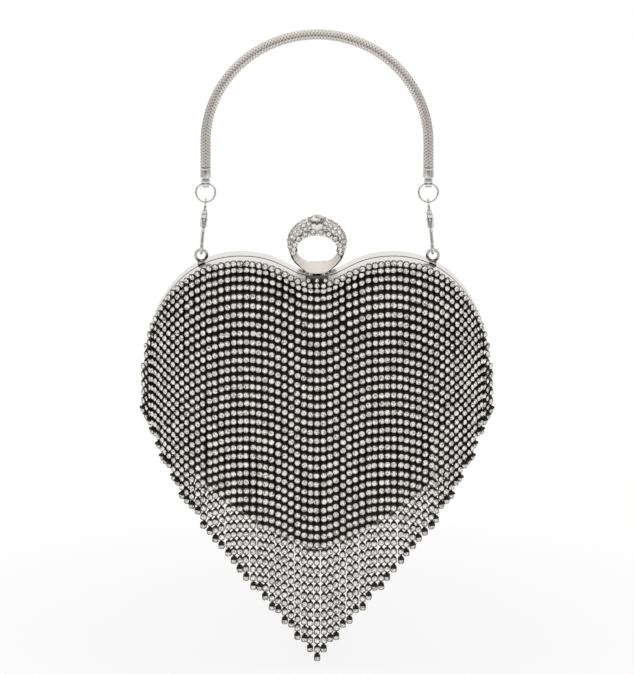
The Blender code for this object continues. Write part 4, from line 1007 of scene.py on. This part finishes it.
def lever_stones(sizes):
    """Two rows of three stones on the lip, and a dark plate behind them that is painted shade, standing for
    the shadowed gap under the finger ring.
    """
    draw, stones = np.random.default_rng(sizes.seed), Shape()
    for height, scale, xs in ((-115.5, 0.7, (-4.1, 0.0, 4.1)), (-118.1, 0.86, (-3.2, 0.0, 3.1))):
        places = np.array([(x, LEVER_FRONT + 0.1, height) for x in xs])
        ways = wobble(frames_from([(0, -1, 0.12)] * 3, [(0, 0, 1)] * 3), draw, 0.05)
        set_stones(stones, places, ways, draw, scale * sizes.stone / MM, scale * sizes.cup / MM, 1.3)
    # Painted shade: a dark plate where the gap under the finger ring is in shadow
    backing = rounded(rectangle(-4.75, -119.0, 4.75, -115.0), 0.5)
    plate = [upright(backing, LEVER_FRONT + depth) for depth in (0.05, -0.25)]
    return stones.skin(np.stack(plate), finish=2)


def section(a, seated=False):
    """The finger ring's section at each angle: bore side, shoulders and crown, six corners. Below, the
    front edge of the bore runs just inside the outline; at the top there may be a seat."""
    bore, side, up = 10.35, RING_CENTRE + 3.55, np.sin(a)
    reaches = bore - 1.7 * np.maximum(up, 0) ** 2, bore - 2.9 * np.maximum(-up, 0) ** 1.5
    near, far = (arc(a, reach, 0, RING_CENTRE) for reach in reaches)
    inner = (near + far) / 2
    tall = np.where(up > 0, RING_CROWN - side, side - (LEVER_TOP + 0.3))
    outer = np.column_stack([14.0 * np.cos(a), side + tall * up])
    if seated:
        seat = RING_CROWN - 1.3 + 3 * np.maximum(np.abs(outer[:, 0]) - 4.0, 0)
        outer[:, 1] = np.where(up > 0.5, np.minimum(outer[:, 1], seat), outer[:, 1])
    edge = outer + (1.15 - 0.8 * np.clip((-up - 0.75) * 5, 0, 1))[:, None] * unit((0, side) - outer)
    near += np.clip((-up - 0.1) / 0.4, 0, 1)[:, None] * (edge - near)
    wide = (10.4 + 2.6 * (1 + up) / 2) / 2
    shoulder, face = inner + 0.45 * (outer - inner), near + 0.45 * (outer - near)
    corners = ((near, -1), (far, 1), (shoulder, 1), (outer, 0.48), (outer, -0.48), (face, -1))
    return np.stack([upright(line, part * wide) for line, part in corners], 1)


def ring_band():
    """The ring: its bore is round, its outside grows towards the crown. The bore is matt, and the
    front edge of the lower shanks has painted shade: a dark finish that stands for the shadow on it."""
    a = bearings(180)
    rings = rounded(section(a, seated=True), np.array([0.4, 0.5, 1.0, 1.2, 1.2, 0.5]), 4)
    # Each corner gives five columns. The bore runs from the middle of the first corner to just past
    # that of the second, and the front edge from before the last corner to the middle of the first
    at, bore, past_bore, front = np.arange(rings.shape[1]), 2, 8, 24
    # Painted shade: the front edge of the lower shanks takes the dark finish
    low = (np.sin(a) < -0.3) & (np.sin(a) > -0.92)
    dark = low[:, None] & ((at >= front) | (at < bore))
    matt = (at >= bore) & (at < past_bore)
    return Shape().skin(rings, loop=True, finish=np.where(dark, 1, np.where(matt, 2, 0)))


def track(row, angles):
    """A row's places at these angles, at its share of the way from one corner of the section to
    another, and that way."""
    first, second, part = row
    corners = section(angles)
    face = corners[:, second] - corners[:, first]
    return corners[:, first] + part * face, face


def pave(size, seed):
    """Small stones in rows on the upper part of the ring. Each row has its two corners and share, its
    stones' scale and step, the angle it starts at, and how far it stays off the seat."""
    draw, shape = np.random.default_rng(seed), Shape()
    for row, scale, pitch, low, clear in (
            ((5, 0, 0.4), 1.0, 1.5, -20, 0), ((4, 5, 0.75), 0.8, 0.95, -14, 3.0),
            ((4, 5, 0.3), 0.95, 1.1, -8, 3.9), ((3, 4, 0.5), 1.0, 1.1, 0, 4.6),
            ((1, 2, 0.5), 1.0, 1.5, -20, 0), ((2, 3, 0.25), 0.8, 0.95, -14, 3.0),
            ((2, 3, 0.7), 0.95, 1.1, -8, 3.9)):
        fine = np.radians(np.linspace(low, 180 - low, 400))
        reach = along(track(row, fine)[0])
        count = 2 * int(reach[-1] / (size * pitch) / 2)
        angle = np.interp((np.arange(count) + 0.5) * reach[-1] / count, reach, fine)
        spot, face = track(row, angle)
        way = track(row, angle + 0.01)[0] - spot
        out = unit(np.cross(face, way))
        out *= np.sign(np.sum(out * (spot - (0, 0, RING_CENTRE)), 1, keepdims=True))
        keep = np.abs(spot[:, 0]) >= clear
        spot, out, way = spot[keep], out[keep], way[keep]
        ways = wobble(frames_from(out, way), draw, 0.04)
        set_stones(shape, spot - 0.65 * out, ways, draw, size * scale, size * min(pitch, 1.2), 1.15)
    return shape


def stone_cup(radius):
    """The large stone's cup, turned. Twelve flutes: outside, the radius swells and shrinks by a cosine
    of twelve times the bearing."""
    out, steps = radius + 0.75, 96
    profile = rounded(np.array([
        (out - 0.5, 2.15), (out - 0.15, 2.15), (out + 0.1, 1.7), (out + 0.2, 0.9), (out + 0.1, 0.2),
        (out - 0.3, -0.3), (out - 1.2, -0.3), (out - 1.1, 0.8), (out - 0.75, 1.6),
    ]), 0.25)
    rings = turned(profile, (0, 0, CUP_FLOOR), steps)
    outside = np.clip((profile[:, :1] - out + 0.6) / 0.4, 0, 1)
    rings[..., :2] *= 1 + 0.07 * (outside * np.cos(12 * bearings(steps)))[..., None]
    return Shape().skin(rings, loop=True)


def large_stone(radius, seed):
    """Rings of the table, the crown, the girdle and the underside, some turned half a facet. Fewer
    than half of the facets are dark, and the rest bright: painted reflections that stand for what each
    facet mirrors."""
    draw, girdle, count = np.random.default_rng(seed), -88.5, 16
    half = math.pi / count
    rings = [level(arc(bearings(count) + turn, radius * part), girdle + height) for part, height, turn in (
        (0.62, 1.8, 0), (0.88, 1.25, half), (1.04, 0.2, 0),
        (1.04, -0.1, 0), (0.5, -0.9, half), (0.03, -1.3, 0))]
    points, quads, fans, _ = skin(np.stack(rings))
    three = triangles(quads, fans)
    # Painted reflection: dark and bright facet tones
    dark = draw.random(len(three)) < 0.42
    tones = np.where(dark, draw.uniform(0.0, 0.35, len(three)), draw.uniform(0.75, 1.0, len(three)))
    return Shape().add(points, (three, 0, tones))


class CLUTCH_OT_clasp(ClutchOperator):
    """Builds the lever, the finger ring and its stones"""
    bl_idname = "clutch.clasp"
    bl_label = "Finger-ring clasp"

    def build(self, settings):
        seed = settings.strands.seed
        size, radius = settings.handle.pave / MM, settings.handle.stone / MM / 2
        for shape, name, looks, node, slot, smooth in (
                (lever(), "lever_strap", "silver link", "lever_plate", "silver", 40),
                (lever_stones(settings.strands), "lever_stones", "stone cup link", "", "stone_strand", 0),
                (ring_band(), "ring_band", "silver link matt", "finger_ring", "silver", 50),
                (pave(size, seed + 1), "ring_pave", "stone setting", "", "crystal", 0),
                (stone_cup(radius), "stone_cup", "setting", "ring_bezel", "silver", 35),
                (large_stone(radius, seed + 2), "large_stone", "stone", "ring_stone", "crystal", 0)):
            self.seat(shape, name, looks, "clasp_lever", node, slot, smooth)


def strand_places(case, spacing):
    """x of each strand on the right half: even in the middle, then even along the rim, and no closer
    than half of that."""
    top, middle, wider = case.top_edge(), 0.29 * case.width, 1.035
    reach, xs = along(top), [0.0]
    while xs[-1] <= case.width + 1.0:
        here = np.interp(xs[-1], top[:, 0], reach)
        step = max(np.interp(here + spacing, reach, top[:, 0]) - xs[-1], spacing / 2)
        xs.append(xs[-1] + (wider * spacing if xs[-1] < middle else step))
    return np.array(xs[:-1])


def drape(case, x, top, free, end):
    """A strand's line (out, z): over the dome and never turning back in, then straight down."""
    z, clear = np.linspace(top, free, 160), 0.35
    out = np.maximum.accumulate(case.front + clear + case.stand(x + 0 * z, z))
    return np.vstack([np.column_stack([out, z]), (out[-1], end - 8.0)])


def strand(case, draw, step, free, x, turned_by, end):
    """A strand's stones, each a step on and swaying a little: their places, the ways out and up, which
    have a link above them, and which is the last. The free end may hang a little to one side."""
    drift, slack = draw.normal(0, 0.19), draw.normal(0, 0.12)
    line = drape(case, x, case.rim(x) - 0.35, free, end)
    reach = along(line)
    # A strand's stones all sit a little up or down, and near the notch up to 0.7 mm lower
    at = np.arange(0.6, reach[-1], step) + slack + 0.7 * math.exp(-((x / 12) ** 2))
    before, here, after = (np.column_stack([np.interp(at + shift, reach, axis) for axis in line.T])
                           for shift in (-0.6, 0, 0.6))
    # The middle strands start below the lever's lip
    lip_half, lip_end = 5.0, -119.9
    keep = (here[:, 1] > end + 0.8) & ((abs(x) > lip_half) | (here[:, 1] < lip_end))
    (out, z), ahead = here[keep].T, unit((after - before)[keep])
    left, right = (case.stand(x + aside + 0 * z, np.maximum(z, free)) for aside in (-0.5, 0.5))
    sway = 0.1 * np.sin(draw.uniform(0, 6.3) + z / draw.uniform(14, 30))
    sway = sway + drift * np.clip((free - z) / 12, 0, 1)
    place = np.column_stack([x + sway + draw.normal(0, 0.04, len(z)), -out, z])
    turn = np.where(np.abs(right - left) > abs(turned_by), left - right, turned_by)
    normal = np.column_stack([turn, -np.abs(ahead[:, 1]), ahead[:, 0]])
    rank = np.arange(len(z))
    return place, normal, np.column_stack([0 * z, ahead[:, 0], -ahead[:, 1]]), rank > 0, rank == len(z) - 1


class CLUTCH_OT_strands(ClutchOperator):
    """Builds the strands of stones in groups, each strand draped over the dome and hanging straight down
    from where it leaves the case
    """
    bl_idname = "clutch.strands"
    bl_label = "Stone strands"

    # The number of groups, and the length over which each bends when it swings
    groups, bend = 6, 22.0

    def build(self, settings):
        case, sizes = Case(settings.case), settings.strands
        draw = np.random.default_rng(sizes.seed)
        right = strand_places(case, sizes.spacing / MM)
        xs = np.concatenate([-right[:0:-1], right])
        boxes = [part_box(f"strands_{g + 1}") for g in range(self.groups)]
        edges = [(one[1][0] + two[0][0]) / 2 / MM for one, two in zip(boxes, boxes[1:])]
        owner = np.searchsorted(edges, xs)
        # Where strands crowd together their stones turn towards edge on: the turn's tangent is 0.8 of
        # that of the angle whose cosine is the distance between strands over the spacing
        room = np.minimum(np.gradient(xs) * MM / sizes.spacing, 1)
        turns = 0.8 * np.sign(xs) * np.sqrt(1 / room**2 - 1)
        tip, side, last = sizes.tip / MM, sizes.side / MM, len(right) - 1
        ends = LOBE_TOP - tip + (tip - side) * np.abs(np.arange(len(xs)) - last) / last
        # Halves of a link's and a cap's outline: dark prisms that are painted shade, standing for the shaded
        # tops of the cups above each stone and over the last one
        link = np.array([(1.45, -0.2), (1.45, 1.2), (1.15, 1.75), (0.6, 2.15), (0.42, 2.95)])
        cap = np.array([(1.5, 0.72), (1.5, 1.4), (1.15, 2.0), (0.6, 2.3)])
        link, cap = (np.vstack([half, half[::-1] * (-1, 1)]) for half in (link, cap))
        for g in range(self.groups):
            members = owner == g
            # Strands come off the case at this drop at its sides, and lower towards its middle
            side_drop, more = 66.0, 26.0
            free = LOBE_TOP - side_drop - more * (1 - abs(xs[members].mean()) / case.width)
            rows = [strand(case, draw, sizes.step / MM, free, *row)
                    for row in zip(xs[members], turns[members], ends[members])]
            places, normals, ups, linked, dim = (np.concatenate(part) for part in zip(*rows))
            ways, shape = wobble(frames_from(normals, ups), draw, 0.07), Shape()
            # Painted shade: a dark link above each stone but the first, and a dark cap over the dimmed last
            # stone
            dark = ((link, 0.12, 0.55, 1.0, linked), (cap, 0.12, 1.1, 0.92, dim))
            set_stones(shape, places, ways, draw, sizes.stone / MM, sizes.cup / MM, 1.9, dim, dark)
            free_end, name = f"fringe_{g + 1}", f"strand_group_{g + 1}"
            nodes = f"strands_{g + 1} {free_end}"
            made = self.seat(shape, name, "stone cup link", None, nodes, "stone_strand", 0)
            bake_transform(made)


def lever_pin():
    """A rod with a flat head at each end."""
    shape = Shape().skin(pin(6.8, PIN_DEPTH, PIN_HEIGHT, 0.8, 24))
    for sign in (-1, 1):
        shape.skin(pin(0.2, PIN_DEPTH, PIN_HEIGHT, 1.35, 28, sign * 7.1))
    return shape


def spring():
    """Two turns of a helix, and a straight leg down from its start."""
    a, start, radius = np.linspace(0, 4 * math.pi, 120), 4.275, 1.325
    coil = np.column_stack([start - 1.075 * a / TURN, arc(a, radius, PIN_DEPTH, PIN_HEIGHT)])
    path = np.vstack([(start, PIN_DEPTH + radius, PIN_HEIGHT - 3.0), coil])
    return Shape().skin(tube(evenly(path, 200), 0.225, (1, 0, 0), 10))


class CLUTCH_OT_small_parts(ClutchOperator):
    """Gives the CAD parts that stay their finishes, and builds the spring and the pins"""
    bl_idname = "clutch.small_parts"
    bl_label = "Small parts"

    def build(self, settings):
        for node in ("lever_bracket", "back_hinge_leaf", "front_hinge_leaf", "catch_stud", "handle_core"):
            mesh = frame["nodes"][node].data
            mesh.materials.clear()
            mesh.materials.append(self.looks["steel" if node == "handle_core" else "silver"])
        hinge_pin = Shape().skin(pin(6.4, 0, HINGE_HEIGHT, 0.8, 24))
        for shape, name, node in ((lever_pin(), "lever_pin_rod", "lever_pin"),
                                  (hinge_pin, "hinge_pin_rod", "hinge_pin"),
                                  (spring(), "spring_wire", "lever_spring")):
            self.seat(shape, name, "steel", "back_case", node, "steel")


# Stage

def aimed(name, data, place, back):
    """A lamp or camera at a place, looking against the way back."""
    made = placed(name, data)
    made.location = place
    made.rotation_mode = "QUATERNION"
    made.rotation_quaternion = (-back).to_track_quat("-Z", "Y")
    return made


def floor(shade):
    """A round floor a little below the fringe, that fades to the white surroundings."""
    low, finish = CAD_BOX[0][2] / MM - 4.0, bpy.data.materials.new("stage_floor")
    nodes = Nodes(finish)
    away = nodes.add("ShaderNodeVectorMath", {"operation": "LENGTH"}, {0: nodes.place()}, "Value")
    fade = nodes.seen()[0] * (0.7 + 0.3 * away.ramp(0.2, 5.0))
    nodes.blended(fade, ("ShaderNodeBsdfDiffuse", shade), ("ShaderNodeEmission", WHITE, 1.0))
    profile = ((700, low - 5), (700, low), (400, low), (200, low))
    Shape().skin(turned(profile, (0, 0, 0), 96)).piece("stage_floor", [finish])


def surroundings(sky):
    """White behind, beside and above the object. Metal also shows the darker room on the near side,
    with a paler patch in its middle, grey flanks, two grey boards at the backdrop's sides, and a grey
    ceiling in front."""
    world = bpy.context.scene.world = bpy.data.worlds.new("surroundings")
    nodes = Nodes(world)
    seen, mirrored = nodes.seen()
    x = nodes.add("ShaderNodeSeparateXYZ", sockets={0: nodes.add("ShaderNodeTexCoord", output="Generated")})
    y, z, aside = x.beside("Y"), x.beside("Z"), x.math("ABSOLUTE")
    room = y.ramp(-0.72, -5.0) * (1.0 - 0.55 * aside.ramp(1 / 9, -9.0))
    board = y.ramp(0.4, 6.0) * y.ramp(0.93, -12.0)
    flank = aside.ramp(0.45, 4.0) * y.ramp(0.4, -6.0)
    ceiling = z.ramp(0.55, 6.0) * z.ramp(0.97, -12.0) * y.ramp(-0.05, -6.0)
    low = (1.0 - z.ramp(0.2, 4.0)) * (0.93 * room + 0.6 * board + 0.55 * flank)
    power = 1.0 - mirrored * (low + 0.4 * ceiling).clipped()
    nodes.blended(seen, ("ShaderNodeBackground", WHITE, sky), ("ShaderNodeBackground", WHITE, power),
                  "ShaderNodeOutputWorld")


class CLUTCH_OT_stage(ClutchOperator):
    """Builds the floor, the surroundings, the lamps and the camera"""
    bl_idname = "clutch.stage"
    bl_label = "Stage"

    # The photograph's scale and height, and its middle
    mm_per_pixel, image_height, middle = 0.48, 674, (0, 0, -0.1469)

    def build(self, settings):
        stage = settings.stage
        bpy.context.scene.view_settings.view_transform = "Standard"
        floor(settings.colours.floor)
        surroundings(stage.sky)
        for name, place, size, power in (
                ("lamp_left", (-0.3, -1.4, 0.2), 0.8, 1.6), ("lamp_right", (0.3, -1.4, 0.2), 0.8, 1.6),
                ("lamp_top", (0.0, 0.1, 1.2), 1.2, 0.9)):
            lamp = bpy.data.lights.new(name, "AREA")
            lamp.size = size
            lamp.energy = stage.key * power
            back = Vector(place) - Vector((0, 0, -0.15))
            aimed(name, lamp, place, back).visible_glossy = False
        # The camera looks at the middle of the object from the front, a little from above
        lens = bpy.data.cameras.new("camera")
        lens.sensor_width = 36.0
        lens.lens = lens.sensor_width * stage.distance / (self.mm_per_pixel * MM * self.image_height)
        lens.clip_start, lens.clip_end = 0.01, 3 * stage.distance
        back = Vector((0, -math.cos(stage.raised), math.sin(stage.raised)))
        place = Vector(self.middle) + back * stage.distance
        bpy.context.scene.camera = aimed("camera", lens, place, back)


class CLUTCH_PT_panel(bpy.types.Panel):
    """Lists the sizes, the colours and the steps"""
    bl_idname = "CLUTCH_PT_panel"
    bl_label = "Heart clutch"
    bl_space_type = "VIEW_3D"
    bl_region_type = "UI"
    bl_category = "Heart clutch"

    def draw(self, context):
        for group in ("case", "strands", "handle", "colours", "stage"):
            box = self.layout.box()
            box.label(text=group.capitalize())
            values = getattr(context.scene.heart_clutch, group)
            for name in values.__annotations__:
                box.prop(values, name)
        for step in STEPS:
            self.layout.operator(step.bl_idname)


GROUPS = (ClutchCaseSizes, ClutchStrandSizes, ClutchHandleSizes, ClutchColours, ClutchStage, ClutchSettings)
STEPS = (CLUTCH_OT_handle, CLUTCH_OT_hardware, CLUTCH_OT_rims, CLUTCH_OT_domes, CLUTCH_OT_clasp,
         CLUTCH_OT_strands, CLUTCH_OT_small_parts, CLUTCH_OT_stage)


def register():
    for kind in (*GROUPS, *STEPS, CLUTCH_PT_panel):
        bpy.utils.register_class(kind)
    bpy.types.Scene.heart_clutch = bpy.props.PointerProperty(type=ClutchSettings)


def unregister():
    del bpy.types.Scene.heart_clutch
    for kind in reversed((*GROUPS, *STEPS, CLUTCH_PT_panel)):
        bpy.utils.unregister_class(kind)


def main():
    """Runs all steps."""
    register()
    for step in STEPS:
        group, name = step.bl_idname.split(".")
        getattr(getattr(bpy.ops, group), name)()


if __name__ == "__main__":
    main()
